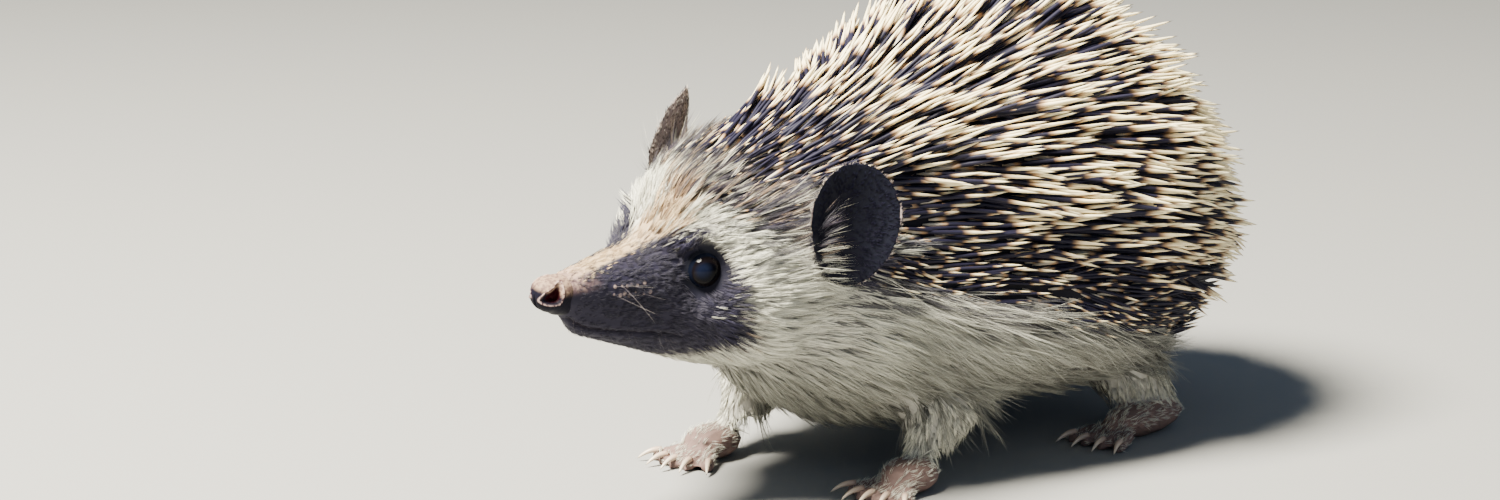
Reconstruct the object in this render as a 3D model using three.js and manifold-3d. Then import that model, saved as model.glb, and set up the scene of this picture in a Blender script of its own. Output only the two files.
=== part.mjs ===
// A four-toed (African pygmy) hedgehog standing on all fours, at life size.
// Millimetres, +Z up, nose towards -X, the animal's left side towards -Y.
// Each solid is the outline out to the tips of the coat. The animal is modelled whole as a few blended
// round masses, wrapped in one skin, and parted with thin cuts into the parts that a person would name.
import * as THREE from "three";
import { mergeVertices } from "three/addons/utils/BufferGeometryUtils.js";
import Module from "manifold-3d";

const wasm = await Module();
wasm.setup();

// ---- Driving dimensions ----
const GAP = 0.3; // width of each cut between two parts
const NOSE_HEIGHT = 40; // nose tip above the floor
const BACK_HEIGHT = 82; // highest quill tips above the floor
const TRUNK_LENGTH = 98; // chest to rump, over the quills
const TRUNK_WIDTH = 88; // over the quills
const BELLY_CLEARANCE = 5; // belly fur above the floor
const HEAD_YAW = -4; // degrees that the head turns: less than 0 is towards its right
const HEAD_ROLL = 10; // degrees that its left side hangs
const EYE_RADIUS = 3.15;
const EAR_WIDTH = 16;
const EAR_HEIGHT = 20.5;
const EAR_THICKNESS = 1.5;
const TAIL_LENGTH = 13;

const SIDES = { left: -1, right: 1 };
const point = (x, y, z) => new THREE.Vector3(x, y, z);
const radians = THREE.MathUtils.degToRad;

// ---- Round masses, as signed distances that are negative inside ----
const ellipsoid = (centre, radii) => (p) => {
  const q = p.clone().sub(centre).divide(radii);
  const slope = q.clone().divide(radii).length();
  return slope > 0 ? (q.length() * (q.length() - 1)) / slope : -Math.min(...radii);
};

// A limb or muzzle whose radius changes evenly from one end to the other.
const roundCone = (from, to, startRadius, endRadius) => {
  const axis = to.clone().sub(from);
  return (p) => {
    const share = THREE.MathUtils.clamp(p.clone().sub(from).dot(axis) / axis.lengthSq(), 0, 1);
    const nearest = from.clone().addScaledVector(axis, share);
    return p.distanceTo(nearest) - THREE.MathUtils.lerp(startRadius, endRadius, share);
  };
};

// Joins masses with a fillet about as wide as softness.
const blend = (softness, ...fields) => (p) =>
  fields
    .map((field) => field(p))
    .reduce((a, b) => {
      const overlap = Math.max(softness - Math.abs(a - b), 0) / softness;
      return Math.min(a, b) - (overlap * overlap * softness) / 4;
    });

// A field drawn in a frame of its own, placed in the animal.
const placed = (frame, field) => {
  const inverse = frame.clone().invert();
  return (p) => field(p.clone().applyMatrix4(inverse));
};

// ---- Solids ----
const positionsOnly = (geometry) => {
  const bare = geometry.clone();
  bare.deleteAttribute("normal");
  bare.deleteAttribute("uv");
  return mergeVertices(bare, 1e-4);
};

const solid = (geometry) => {
  const merged = positionsOnly(geometry);
  return new wasm.Manifold(
    new wasm.Mesh({
      numProp: 3,
      vertProperties: new Float32Array(merged.attributes.position.array),
      triVerts: new Uint32Array(merged.index.array),
    }),
  );
};

// Where a ray from inside a field leaves it, grown outwards by grow.
const surfaceAlong = (field, origin, direction, grow) => {
  const step = 1;
  let inside = 0;
  let outside = step;
  const at = (distance) => origin.clone().addScaledVector(direction, distance);
  while (field(at(outside)) < grow && outside < 200) {
    inside = outside;
    outside += step;
  }
  for (let i = 0; i < 14; i++) {
    const middle = (inside + outside) / 2;
    if (field(at(middle)) < grow) inside = middle;
    else outside = middle;
  }
  return at(outside);
};

// A closed skin round a field. Rays leave the centreline square to it, and fan out round its two ends.
const wrap = (field, centreline, { around, along, cap, grow = 0 }) => {
  const geometry = positionsOnly(new THREE.CapsuleGeometry(1, 1, cap, around, along));
  const vertices = geometry.attributes.position;
  for (let i = 0; i < vertices.count; i++) {
    const v = new THREE.Vector3().fromBufferAttribute(vertices, i);
    const share = THREE.MathUtils.clamp(v.y + 0.5, 0, 1);
    const pastEnd = v.y + 0.5 - share;
    const forwards = centreline.getTangent(share);
    const sideways = point(forwards.y, -forwards.x, 0).normalize();
    const upwards = sideways.clone().cross(forwards);
    const direction = forwards.multiplyScalar(pastEnd);
    direction.addScaledVector(sideways, v.x).addScaledVector(upwards, v.z).normalize();
    const found = surfaceAlong(field, centreline.getPoint(share), direction, grow);
    vertices.setXYZ(i, found.x, found.y, found.z);
  }
  return solid(geometry);
};

// Everything on the side of a plane that its normal points to, less half a cut.
const HALF_SPACE = 500;
const halfSpace = (through, normal) => {
  const box = new THREE.BoxGeometry(HALF_SPACE, HALF_SPACE, HALF_SPACE);
  const turn = new THREE.Quaternion().setFromUnitVectors(point(0, 0, 1), normal.clone().normalize());
  const centre = normal.clone().setLength(HALF_SPACE / 2 + GAP / 2).add(through);
  return solid(box.applyQuaternion(turn).translate(...centre));
};

// ---- The head's own frame: origin at the nose tip, x back along the skull, y to the right, z up ----
const NECK_JOINT = point(56, 0, NOSE_HEIGHT);
const headFrame = new THREE.Matrix4()
  .makeTranslation(...NECK_JOINT)
  .multiply(new THREE.Matrix4().makeRotationZ(radians(HEAD_YAW)))
  .multiply(new THREE.Matrix4().makeRotationX(radians(HEAD_ROLL)))
  .multiply(new THREE.Matrix4().makeTranslation(-NECK_JOINT.x, 0, 0));
const inHead = (x, y, z) => point(x, y, z).applyMatrix4(headFrame);

const both = (make) => Object.values(SIDES).map(make);
const muzzle = blend(
  4,
  roundCone(point(4.6, 0, -0.4), point(24, 0, -1), 3.3, 8.3), // upper jaw and nose bridge
  roundCone(point(9.5, 0, -5.6), point(33, 0, -7), 2.8, 10), // lower jaw
);
const skull = blend(
  5,
  ellipsoid(point(39, 0, 4), point(18, 16, 16)), // braincase and forehead fur
  ellipsoid(point(51, 0, 7.5), point(19, 21, 16.5)), // quilled crown
  ...both((side) => ellipsoid(point(38, side * 9, -3), point(13, 11, 11))), // furred cheeks
  ellipsoid(point(54, 0, -9), point(17, 19, 15)), // throat ruff
);
const head = placed(headFrame, blend(5, muzzle, skull));

// ---- Trunk ----
const trunkMiddle = NECK_JOINT.x + TRUNK_LENGTH / 2;
const mantleHeight = 75; // from the lowest to the highest point of the mass that carries the quills
const trunkMass = blend(
  10,
  ellipsoid(
    point(trunkMiddle - 2, 0, BACK_HEIGHT - mantleHeight / 2),
    point(TRUNK_LENGTH / 2 - 9, TRUNK_WIDTH / 2 - 5, mantleHeight / 2),
  ),
  ellipsoid(point(trunkMiddle + 11, 0, 35.5), point(39, TRUNK_WIDTH / 2 - 7, 28)), // rump
  ellipsoid(point(78, 0, 43), point(27, 28, 28)), // shoulders
  ellipsoid(point(70, 0, 30), point(25, 26, 24.5)), // chest
  ellipsoid(point(103, 0, 27), point(46, 38, 24 - BELLY_CLEARANCE)), // belly and flanks
);
const animal = blend(12, head, trunkMass);

// The centreline has its points close together in the head, which gives the face its finer rings.
const centreline = new THREE.CatmullRomCurve3([
  inHead(5, 0, -0.5),
  inHead(15, 0, -1.5),
  inHead(25, 0, -1.5),
  inHead(35, 0, 0),
  inHead(46, 0, 1),
  point(60, 0, 41),
  point(80, 0, 42),
  point(101, 0, 42),
  point(120, 0, 38),
]);
const fineness = { around: 32, along: 44, cap: 6 };
const whole = wrap(animal, centreline, fineness);
const wholeAndGap = wrap(animal, centreline, { ...fineness, grow: GAP });

// ---- Cuts between head, neck, quilled mantle and furred trunk ----
const headCut = [inHead(55, 0, 0), point(-1, 0, 0.12)];
const neckCut = [point(68, 0, 40), point(-1, 0, 0.22)];
const hemCut = [point(105, 0, 22.5), point(0.27, 0, 1)];
const front = ([through, normal]) => halfSpace(through, normal);
const back = ([through, normal]) => halfSpace(through, normal.clone().negate());

// ---- Eyes and nose ----
const eyeBall = (side, grow) =>
  solid(new THREE.SphereGeometry(EYE_RADIUS + grow, 14, 9).translate(...inHead(26.6, side * 8.2, 2.8)));
const noseLeather = (grow) =>
  solid(
    new THREE.SphereGeometry(1, 14, 9)
      .scale(3 + grow, 3.2 + grow, 2.8 + grow)
      .translate(2.6, 0, -0.2)
      .applyMatrix4(headFrame),
  );

// ---- Ears: a thin round dish that faces forwards and outwards ----
const EAR_ROOT = point(45.4, 20.4, 7);
const EAR_CUP = 3.2; // depth of the dish
const ear = (side, grow) => {
  const dish = new THREE.SphereGeometry(1, 16, 8);
  const vertices = dish.attributes.position;
  for (let i = 0; i < vertices.count; i++) {
    const v = new THREE.Vector3().fromBufferAttribute(vertices, i);
    const narrowing = 1 - 0.22 * ((1 - v.y) / 2) ** 2; // the lower half is the narrower one
    vertices.setXYZ(
      i,
      v.x * (EAR_WIDTH / 2 + grow) * narrowing,
      v.y * (EAR_HEIGHT / 2 + grow),
      v.z * (EAR_THICKNESS / 2 + grow) + EAR_CUP * (v.x * v.x + 0.35 * v.y * v.y),
    );
  }
  // The dish's own z turns to point forwards and outwards, and its y upwards.
  const facing = point(-0.62, side, 0.12).normalize();
  const upwards = point(0, 0, 1).cross(facing).cross(facing).negate().normalize();
  const across = upwards.clone().cross(facing);
  const frame = new THREE.Matrix4().makeBasis(across, upwards, facing);
  const centre = point(EAR_ROOT.x, side * EAR_ROOT.y, EAR_ROOT.z).addScaledVector(upwards, EAR_HEIGHT * 0.22);
  frame.setPosition(centre);
  return solid(dish.applyMatrix4(frame).applyMatrix4(headFrame));
};

// ---- Legs and feet ----
const legs = {
  foreleg: { hip: [68, 17, 24], knee: [69, 17.5, 14], ankle: [64, 18, 6.5], radii: [9, 6.5, 4], step: 3 },
  hindleg: { hip: [120, 18, 24], knee: [119, 20, 14], ankle: [126, 23.5, 6.5], radii: [10, 8, 4.2], step: -3 },
};
// Toes are numbered from the inner side. Spread is each toe's angle from straight ahead, in degrees.
const feet = {
  forefoot: { palm: [58.5, 19, 3.2], size: [6, 4.4, 3.2], toes: [-38, -17, 0, 17, 36], reach: 4.6, step: 3 },
  hindfoot: { palm: [120, 25.5, 3.2], size: [11, 4.2, 3.2], toes: [-20, -7, 7, 20], reach: 9.4, step: -3 },
};
const TOE_LENGTH = 5;
const TOE_RADIUS = 1.25;
const CLAW_LENGTH = 3.4;
const CLAW_RADIUS = 0.6;

const strut = (from, to, startRadius, endRadius, around) => {
  const line = new THREE.LineCurve3(from, to);
  return wrap(roundCone(from, to, startRadius, endRadius), line, { around, along: 1, cap: 1 });
};

const leg = ({ hip, knee, ankle, radii, step }, side) => {
  const at = ([x, y, z]) => point(x - side * step, side * y, z);
  const field = blend(
    3,
    roundCone(at(hip), at(knee), radii[0], radii[1]),
    roundCone(at(knee), at(ankle), radii[1], radii[2]),
  );
  const line = new THREE.CatmullRomCurve3([at(hip), at(knee), at(ankle)]);
  return wrap(field, line, { around: 12, along: 6, cap: 2 });
};

// A flat-soled palm with toes and claws that touch the floor.
const foot = ({ palm, size, toes, reach, step }, side) => {
  const centre = point(palm[0] - side * step, side * palm[1], palm[2]);
  const pad = new THREE.SphereGeometry(1, 10, 6).scale(...size).translate(...centre);
  let made = solid(pad);
  for (const spread of toes) {
    const angle = radians(spread);
    const ahead = point(-Math.cos(angle), side * Math.sin(angle), 0);
    const root = centre.clone().addScaledVector(ahead, reach).setZ(2.0);
    const tip = root.clone().addScaledVector(ahead, TOE_LENGTH).setZ(TOE_RADIUS);
    const clawRoot = tip.clone().setZ(TOE_RADIUS + 0.5);
    const clawTip = tip.clone().addScaledVector(ahead, CLAW_LENGTH).setZ(0.5);
    made = made.add(strut(root, tip, TOE_RADIUS * 1.2, TOE_RADIUS, 6));
    made = made.add(strut(clawRoot, clawTip, CLAW_RADIUS, 0.3, 5));
  }
  return made;
};
const SOLE = 0.5; // how much of the rounded underside is flattened by standing
const armpitCut = [point(0, 0, 16), point(0, 0, 1)];
const aboveFloor = halfSpace(point(0, 0, SOLE - GAP / 2), point(0, 0, 1));

// ---- Tail ----
const tailRoot = point(NECK_JOINT.x + TRUNK_LENGTH - 13, 0, 16);
const tailTip = tailRoot.clone().add(point(TAIL_LENGTH, 0, -7));

// ---- Materials ----
const finish = (color, roughness) => new THREE.MeshStandardMaterial({ color, roughness, metalness: 0 });
const materials = {
  quills: finish(0xb9a68e, 0.6),
  paleFur: finish(0xd8d6c6, 0.9),
  face: finish(0x9a8c84, 0.85),
  earSkin: finish(0x3b3844, 0.8),
  noseLeather: finish(0x2b2530, 0.45),
  eye: finish(0x090a10, 0.05),
  footSkin: finish(0x8d7a76, 0.7),
};

const hedgehog = new THREE.Group();
const add = (name, shape, material) => {
  const { vertProperties, triVerts } = shape.getMesh();
  const geometry = new THREE.BufferGeometry();
  geometry.setAttribute("position", new THREE.BufferAttribute(new Float32Array(vertProperties), 3));
  geometry.setIndex(new THREE.BufferAttribute(new Uint32Array(triVerts), 1));
  geometry.computeVertexNormals();
  const mesh = new THREE.Mesh(geometry, material);
  mesh.name = name;
  hedgehog.add(mesh);
};

let headPiece = whole.intersect(front(headCut)).subtract(noseLeather(GAP));
for (const [name, side] of Object.entries(SIDES)) {
  headPiece = headPiece.subtract(eyeBall(side, GAP));
  add(`eye_${name}`, eyeBall(side, 0), materials.eye);
  add(`ear_${name}`, ear(side, 0).subtract(wholeAndGap), materials.earSkin);
}
add("nose", noseLeather(0), materials.noseLeather);
add("head", headPiece, materials.face);
add("neck", whole.intersect(back(headCut)).intersect(front(neckCut)), materials.paleFur);
const rear = whole.intersect(back(neckCut));
add("mantle", rear.intersect(front(hemCut)), materials.quills);
add("trunk", rear.intersect(back(hemCut)), materials.paleFur);
add("tail", strut(tailRoot, tailTip, 2.6, 1.1, 8).subtract(wholeAndGap), materials.footSkin);

for (const [name, side] of Object.entries(SIDES)) {
  for (const [legName, footName] of [["foreleg", "forefoot"], ["hindleg", "hindfoot"]]) {
    const limb = leg(legs[legName], side);
    const paw = foot(feet[footName], side).intersect(aboveFloor);
    const ankleCut = [point(0, 0, 6), point(0, 0, 1)];
    const shown = limb.intersect(front(ankleCut)).intersect(back(armpitCut)).subtract(wholeAndGap);
    add(`${legName}_${name}`, shown, materials.paleFur);
    add(`${footName}_${name}`, paw.intersect(back(ankleCut)), materials.footSkin);
  }
}

// The origin is under the middle of the animal, at floor level.
const box = new THREE.Box3().setFromObject(hedgehog);
const middle = box.getCenter(new THREE.Vector3());
hedgehog.position.set(-middle.x, -middle.y, -box.min.z);

export default hedgehog;
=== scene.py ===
# %% [markdown]
# # A hedgehog at life size
# This lesson dresses a plain solid model of a four-toed hedgehog. The solids say where everything is: they
# are the outline out to the tips of the quills and the fur. Under that outline we build one seamless skin,
# plant the quills and the fur on it, and add the eyes, the nose and the claws as pieces of their own. All
# lengths on the animal are in millimetres, and MM turns them into Blender's metres.

import itertools
import math

import bmesh
import bpy
import numpy as np
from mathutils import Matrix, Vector, noise
from mathutils.bvhtree import BVHTree
from mathutils.kdtree import KDTree


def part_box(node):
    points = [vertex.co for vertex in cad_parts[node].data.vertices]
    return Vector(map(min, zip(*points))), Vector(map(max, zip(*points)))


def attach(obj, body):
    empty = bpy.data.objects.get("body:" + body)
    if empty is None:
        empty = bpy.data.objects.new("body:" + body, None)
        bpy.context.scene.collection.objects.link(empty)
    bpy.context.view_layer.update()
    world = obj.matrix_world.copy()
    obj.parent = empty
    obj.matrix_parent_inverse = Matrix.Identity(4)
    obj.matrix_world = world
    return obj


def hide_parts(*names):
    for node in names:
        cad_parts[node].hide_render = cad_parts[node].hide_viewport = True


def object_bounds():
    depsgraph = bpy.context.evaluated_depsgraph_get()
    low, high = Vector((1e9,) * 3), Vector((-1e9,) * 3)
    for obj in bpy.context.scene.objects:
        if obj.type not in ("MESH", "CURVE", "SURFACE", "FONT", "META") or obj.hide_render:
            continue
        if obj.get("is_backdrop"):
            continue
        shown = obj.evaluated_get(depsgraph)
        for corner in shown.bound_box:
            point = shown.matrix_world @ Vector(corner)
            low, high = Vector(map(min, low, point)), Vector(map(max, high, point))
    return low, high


MM = 0.001
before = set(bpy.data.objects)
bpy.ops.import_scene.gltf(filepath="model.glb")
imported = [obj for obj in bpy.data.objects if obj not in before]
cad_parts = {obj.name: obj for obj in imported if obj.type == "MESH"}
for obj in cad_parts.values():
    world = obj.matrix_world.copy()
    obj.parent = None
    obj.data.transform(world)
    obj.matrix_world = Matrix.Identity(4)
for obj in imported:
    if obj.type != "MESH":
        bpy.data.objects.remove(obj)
cad_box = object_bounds()
print("solids:", sorted(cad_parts))

# %% [markdown]
# A face is easiest to describe in a frame of its own. Ours starts at the nose and runs back between the
# eyes, so (24, -9, 0) is 24 mm back from the nose, 9 mm to the animal's left and level with the
# nose-to-eye line.

# %% The face's own frame


def middle_of(node):
    low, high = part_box(node)
    return np.array((low + high) / 2)


def unit(vectors):
    return vectors / np.maximum(np.linalg.norm(vectors, axis=-1, keepdims=True), 1e-12)


nose_middle = middle_of("nose")
eye_middles = {side: middle_of(f"eye_{side}") for side in ("left", "right")}
SIDES = {"left": -1.0, "right": 1.0}

to_the_right = unit(eye_middles["right"] - eye_middles["left"])
to_the_back = (eye_middles["left"] + eye_middles["right"]) / 2 - nose_middle
to_the_back = unit(to_the_back - to_the_right * (to_the_back @ to_the_right))
face_axes = np.array([to_the_back, to_the_right, np.cross(to_the_back, to_the_right)])


def in_face(points):
    return (points - nose_middle) @ face_axes.T / MM


def from_face(places):
    return nose_middle + np.asarray(places) @ face_axes * MM


print("eyes in the face's frame:", {s: in_face(p).round(1).tolist() for s, p in eye_middles.items()})

# %% [markdown]
# Two small helpers are used all through the lesson. `ramp` goes smoothly from 0 to 1 while a value goes
# from `low` to `high`, and `average_along` evens a value out over a mesh by mixing each vertex with its
# neighbours, apart from those that `hold` keeps as they are.

# %% Smooth steps, and evening out over a mesh


def ramp(value, low, high):
    share = np.clip((value - low) / (high - low), 0.0, 1.0)
    return share * share * (3.0 - 2.0 * share)


def average_along(edges, values, rounds, hold=None):
    flat = values.reshape(len(values), -1).astype(float)
    neighbours = np.bincount(edges.ravel(), minlength=len(flat)).clip(1)
    start = flat.copy()
    for _ in range(rounds):
        total = np.empty_like(flat)
        for k in range(flat.shape[1]):
            column = flat[:, k]
            total[:, k] = np.bincount(edges[:, 0], column[edges[:, 1]], len(flat))
            total[:, k] += np.bincount(edges[:, 1], column[edges[:, 0]], len(flat))
        flat = 0.5 * flat + 0.5 * total / neighbours[:, None]
        if hold is not None:
            flat = flat * (1 - hold[:, None]) + start * hold[:, None]
    return flat.reshape(values.shape)


print("half way along a ramp from 0 to 1:", ramp(0.5, 0, 1))

# %% [markdown]
# The next helpers read and write a whole mesh at once, which is far quicker than vertex by vertex. An
# attribute is a value that is kept with each vertex, for the materials and for later steps. The last
# helper turns a piece's modifiers into plain mesh.

# %% Whole meshes at once


def points_of(mesh):
    flat = np.empty(len(mesh.vertices) * 3)
    mesh.vertices.foreach_get("co", flat)
    return flat.reshape(-1, 3)


def edges_of(mesh):
    flat = np.empty(len(mesh.edges) * 2, np.int64)
    mesh.edges.foreach_get("vertices", flat)
    return flat.reshape(-1, 2)


def normals_of(mesh):
    flat = np.empty(len(mesh.vertices) * 3, np.float32)
    mesh.vertex_normals.foreach_get("vector", flat)
    return flat.reshape(-1, 3).astype(float)


def set_points(mesh, points):
    mesh.vertices.foreach_set("co", points.ravel())
    mesh.update()


def put_attribute(mesh, name, kind, values):
    layer = mesh.attributes.new(name, kind, "POINT")
    layer.data.foreach_set("value" if kind in ("FLOAT", "INT") else "vector", np.ravel(values))


def get_attribute(mesh, name):
    values = np.empty(len(mesh.vertices), np.float32)
    mesh.attributes[name].data.foreach_get("value", values)
    return values.astype(float)


def smooth(mesh):
    for polygon in mesh.polygons:
        polygon.use_smooth = True


def mesh_from(bm, name):
    mesh = bpy.data.meshes.new(name)
    bm.to_mesh(mesh)
    bm.free()
    return mesh


def add_object(name, mesh):
    piece = bpy.data.objects.new(name, mesh)
    bpy.context.scene.collection.objects.link(piece)
    return piece


def with_modifiers_applied(piece):
    evaluated = piece.evaluated_get(bpy.context.evaluated_depsgraph_get())
    mesh = bpy.data.meshes.new_from_object(evaluated)
    piece.modifiers.clear()
    piece.data = mesh
    return mesh


print("triangles in the solids:", sum(len(solid.data.polygons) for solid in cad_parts.values()))

# %% [markdown]
# Where do the quills begin? On this species they start as a fringe over the forehead, pass just above and
# behind the ears and end in a hem that drops towards the rump. One function answers it for any point, and
# the skin, the quills and the fur all ask the same function, so they always agree.

# %% The quilled part of the body
HEM_AT_MIDDLE = 28.2  # height of the hem at the middle of the body
HEM_SLOPE = -0.28
FRINGE = 26.0  # how far back from the nose the quills start
FRINGE_HALF_WIDTH = 6.5
FRINGE_CURVE = 0.28  # how fast the fringe curves back on both sides
EAR_LINE = 41.0  # the fringe ends behind the ears, along a line that leans back
EAR_LINE_HEIGHT = 8.0
EAR_LINE_LEAN = 0.65


def quill_margin(points):
    """Millimetres inside the quilled part, negative outside it."""
    x, _, z = (points / MM).T
    back, side, up = in_face(points).T
    above_hem = z - (HEM_AT_MIDDLE + HEM_SLOPE * x)
    curve_back = FRINGE_CURVE * np.maximum(np.abs(side) - FRINGE_HALF_WIDTH, 0.0) ** 2
    ear_line = EAR_LINE + EAR_LINE_LEAN * (EAR_LINE_HEIGHT - up)
    behind_fringe = back - np.minimum(FRINGE + curve_back, ear_line)
    return np.minimum(above_hem, behind_fringe)


print("margin at the nose in mm:", quill_margin(nose_middle[None]).round(1))

# %% [markdown]
# ## The skin
# One skin covers the whole animal, so that no seam shows between head, neck and body. The solids of the
# flesh are swollen a little so that they overlap, joined, and remeshed in small voxels. Each point then
# moves inwards by the depth of the coat that grows there: deep under the quills, almost nothing on the
# muzzle.

# %% One closed shell from all the flesh
SWELL = 0.25
VOXEL = 0.45
FLESH = sorted(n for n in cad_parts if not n.startswith(("eye", "nose")))
HEEL = {"forefoot": 6.0, "hindfoot": 11.0}  # from the middle of the palm to the back edge of the foot
TOE_FLESH = {"forefoot": 10.6, "hindfoot": 15.4}  # and to the end of the toes' flesh


def palm_middle(foot):
    low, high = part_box(foot)
    return np.array([high.x - HEEL[foot.split("_")[0]] * MM, (low.y + high.y) / 2, 0.0])


def merged_copy(node):
    bm = bmesh.new()
    bm.from_mesh(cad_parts[node].data)
    bmesh.ops.remove_doubles(bm, verts=bm.verts, dist=1e-6)
    bm.normal_update()
    for vertex in bm.verts:
        vertex.co += vertex.normal * SWELL * MM
    if "foot" in node:  # the claws are pieces of their own, so here they are pulled back into the toes
        palm = palm_middle(node)
        reach = TOE_FLESH[node.split("_")[0]] * MM
        for vertex in bm.verts:
            flat = Vector((vertex.co.x - palm[0], vertex.co.y - palm[1], 0.0))
            if flat.length > reach:
                vertex.co -= flat * (1 - reach / flat.length)
    return mesh_from(bm, node)


together = bmesh.new()
for node in sorted(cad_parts):  # the eyes and the nose too, because they close their sockets
    part = merged_copy(node)
    together.from_mesh(part)
    bpy.data.meshes.remove(part)
skin = add_object("skin", mesh_from(together, "skin"))
remesh = skin.modifiers.new("one_shell", "REMESH")
remesh.mode = "VOXEL"
remesh.voxel_size = VOXEL * MM
shell = with_modifiers_applied(skin)
print("skin after remeshing:", len(shell.vertices), "vertices")

# %% [markdown]
# Later steps treat the ears, legs, feet and tail in their own ways, so each point of the shell has to know
# where it belongs: to a limb, if that limb's solid is within a millimetre and closer than all the others.
# The answers stay with the mesh as attributes, because the mesh itself is about to change.

# %% Which small limb each point of the shell belongs to
LIMBS = ("ear", "foot", "leg", "tail")
LIMB_REACH = 1.0

solid_trees = {}
for node in FLESH:
    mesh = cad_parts[node].data
    faces = [list(p.vertices) for p in mesh.polygons]
    solid_trees[node] = BVHTree.FromPolygons([v.co for v in mesh.vertices], faces)
points = points_of(shell)
edges = edges_of(shell)
belongs = {kind: np.zeros(len(points)) for kind in LIMBS}
for kind in LIMBS:
    others = [n for n in FLESH if kind not in n]
    for node in (n for n in FLESH if kind in n):
        low, high = (np.array(corner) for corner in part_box(node))
        near = np.all((points > low - LIMB_REACH * MM) & (points < high + LIMB_REACH * MM), axis=1)
        for i in np.nonzero(near)[0]:
            place = Vector(points[i])
            own = solid_trees[node].find_nearest(place)[3]
            if own < LIMB_REACH * MM and own < min(solid_trees[n].find_nearest(place)[3] for n in others):
                belongs[kind][i] = 1.0
print("points on", {kind: int(v.sum()) for kind, v in belongs.items()})

# %% [markdown]
# The coat's depth is the distance from the solid's outline down to the bare skin. It is given in a few
# plain rules and then evened out, so that no step shows. Feet and ears are nearly naked, so they lose little
# more than the swell.

# %% Sinking the shell by the depth of the coat
SINK_STEPS = 4
FUR_DEPTH = ((0, 8, 16, 24, 32, 45), (0.3, 0.35, 0.5, 0.8, 1.6, 3.4))  # distance back from the nose: depth
QUILL_DEPTH = 3.6  # at the edge of the quills
DEEPER_INSIDE, DEEPER_BEHIND = 1.4, 2.6  # more of it away from the edge, and towards the rump
LIMB_DEPTH = {"ear": 0.1, "foot": 0.1, "leg": 0.9, "tail": 1.0}


def coat_depth(points):
    depth = np.interp(in_face(points)[:, 0], *FUR_DEPTH)
    margin = quill_margin(points)
    inside, behind = ramp(margin, 2, 16), ramp(points[:, 0] / MM, -45, 15)
    under_quills = QUILL_DEPTH + DEEPER_INSIDE * inside + DEEPER_BEHIND * behind
    return depth + (under_quills - depth) * ramp(margin, -3, 6)


depth = coat_depth(points)
for kind, limb_depth in LIMB_DEPTH.items():
    depth += (limb_depth - depth) * belongs[kind]
depth = average_along(edges, depth, 24, hold=np.clip(belongs["ear"] + belongs["foot"], 0, 1))
for _ in range(SINK_STEPS):
    inwards = -unit(average_along(edges, normals_of(shell), 6))
    points = points + inwards * ((depth + SWELL) * MM / SINK_STEPS)[:, None]
    set_points(shell, points)

fine = np.clip(belongs["ear"] + belongs["foot"] + (1 - ramp(in_face(points)[:, 0], 20, 40)), 0, 1)
fine = average_along(edges, fine, 12)
points = average_along(edges, points, 30, hold=fine)
points = average_along(edges, points, 4, hold=belongs["foot"] * 0.7)
set_points(shell, points)
print("skin box in mm:", (points.min(0) / MM).round(1), (points.max(0) / MM).round(1))

# %% [markdown]
# Nobody sees the skin under the quills, so its faces are thinned out there with Decimate. A vertex group
# tells the modifier how much each place may lose: all of it under the quills, some under the fur, and
# almost nothing on the face, the ears and the feet.

# %% Fewer faces where the coat hides the skin
KEPT_SHARE = 0.28
LEVELS = np.linspace(0.05, 1.0, 20)  # the vertex group is filled in these steps
HALF_STEP = 0.026

hidden = ramp(quill_margin(points), -4, 4) * (1 - average_along(edges, belongs["ear"], 60))
plain = np.clip(0.25 + 0.75 * hidden, 0, 1) * (1 - 0.92 * average_along(edges, fine, 30))
group = skin.vertex_groups.new(name="plain")
for level in LEVELS:
    members = np.nonzero(np.abs(plain - level) <= HALF_STEP)[0]
    group.add(members.tolist(), float(level), "REPLACE")
for kind in LIMBS:
    put_attribute(shell, kind, "FLOAT", average_along(edges, belongs[kind], 4))
thin_out = skin.modifiers.new("thin_out", "DECIMATE")
thin_out.ratio = KEPT_SHARE
thin_out.vertex_group = "plain"
thin_out.vertex_group_factor = 6.0
shell = with_modifiers_applied(skin)
skin.vertex_groups.clear()
print("skin after thinning:", len(shell.vertices), "vertices,", len(shell.polygons), "faces")

# %% [markdown]
# ## The face
# The shell is now cut finer round the eyes and on the muzzle, and modelled as a sculptor would: lids that
# fold round the eyeballs, the pads that carry the whiskers, the line of the mouth and the chin under it.

# %% Finer faces round the eyes and on the muzzle
LOOK = (-0.42, 0.86, 0.20)  # the right eye looks sideways, a little forwards and up
EYE_SET_BACK = {"left": 0.5, "right": 1.0}  # the eyes lie this much deeper than their solids
LID_REACH = 5.4
MUZZLE_END = 17.0

EYE = {}
for side, hand in SIDES.items():
    EYE[side] = in_face(eye_middles[side]) - EYE_SET_BACK[side] * unit(np.array(LOOK) * (1, hand, 1))
low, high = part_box("eye_left")
EYE_RADIUS = max(high - low) / 2 / MM
fine_mesh = bmesh.new()
fine_mesh.from_mesh(shell)
bmesh.ops.triangulate(fine_mesh, faces=fine_mesh.faces)


def split_edges(chosen, cuts):
    picked = [e for e in fine_mesh.edges if all(chosen[v.index] for v in e.verts)]
    bmesh.ops.subdivide_edges(fine_mesh, edges=picked, cuts=cuts, use_grid_fill=True)
    fine_mesh.verts.ensure_lookup_table()
    fine_mesh.verts.index_update()


def places_in_face():
    return in_face(np.array([v.co[:] for v in fine_mesh.verts]))


split_edges(places_in_face()[:, 0] < MUZZLE_END, 1)
for side in SIDES:
    split_edges(np.linalg.norm(places_in_face() - EYE[side], axis=1) < LID_REACH, 2)
bmesh.ops.triangulate(fine_mesh, faces=fine_mesh.faces)
fine_mesh.to_mesh(shell)
fine_mesh.free()
edges = edges_of(shell)
print("skin with a fine face:", len(shell.vertices), "vertices,", len(shell.polygons), "faces")

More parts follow.
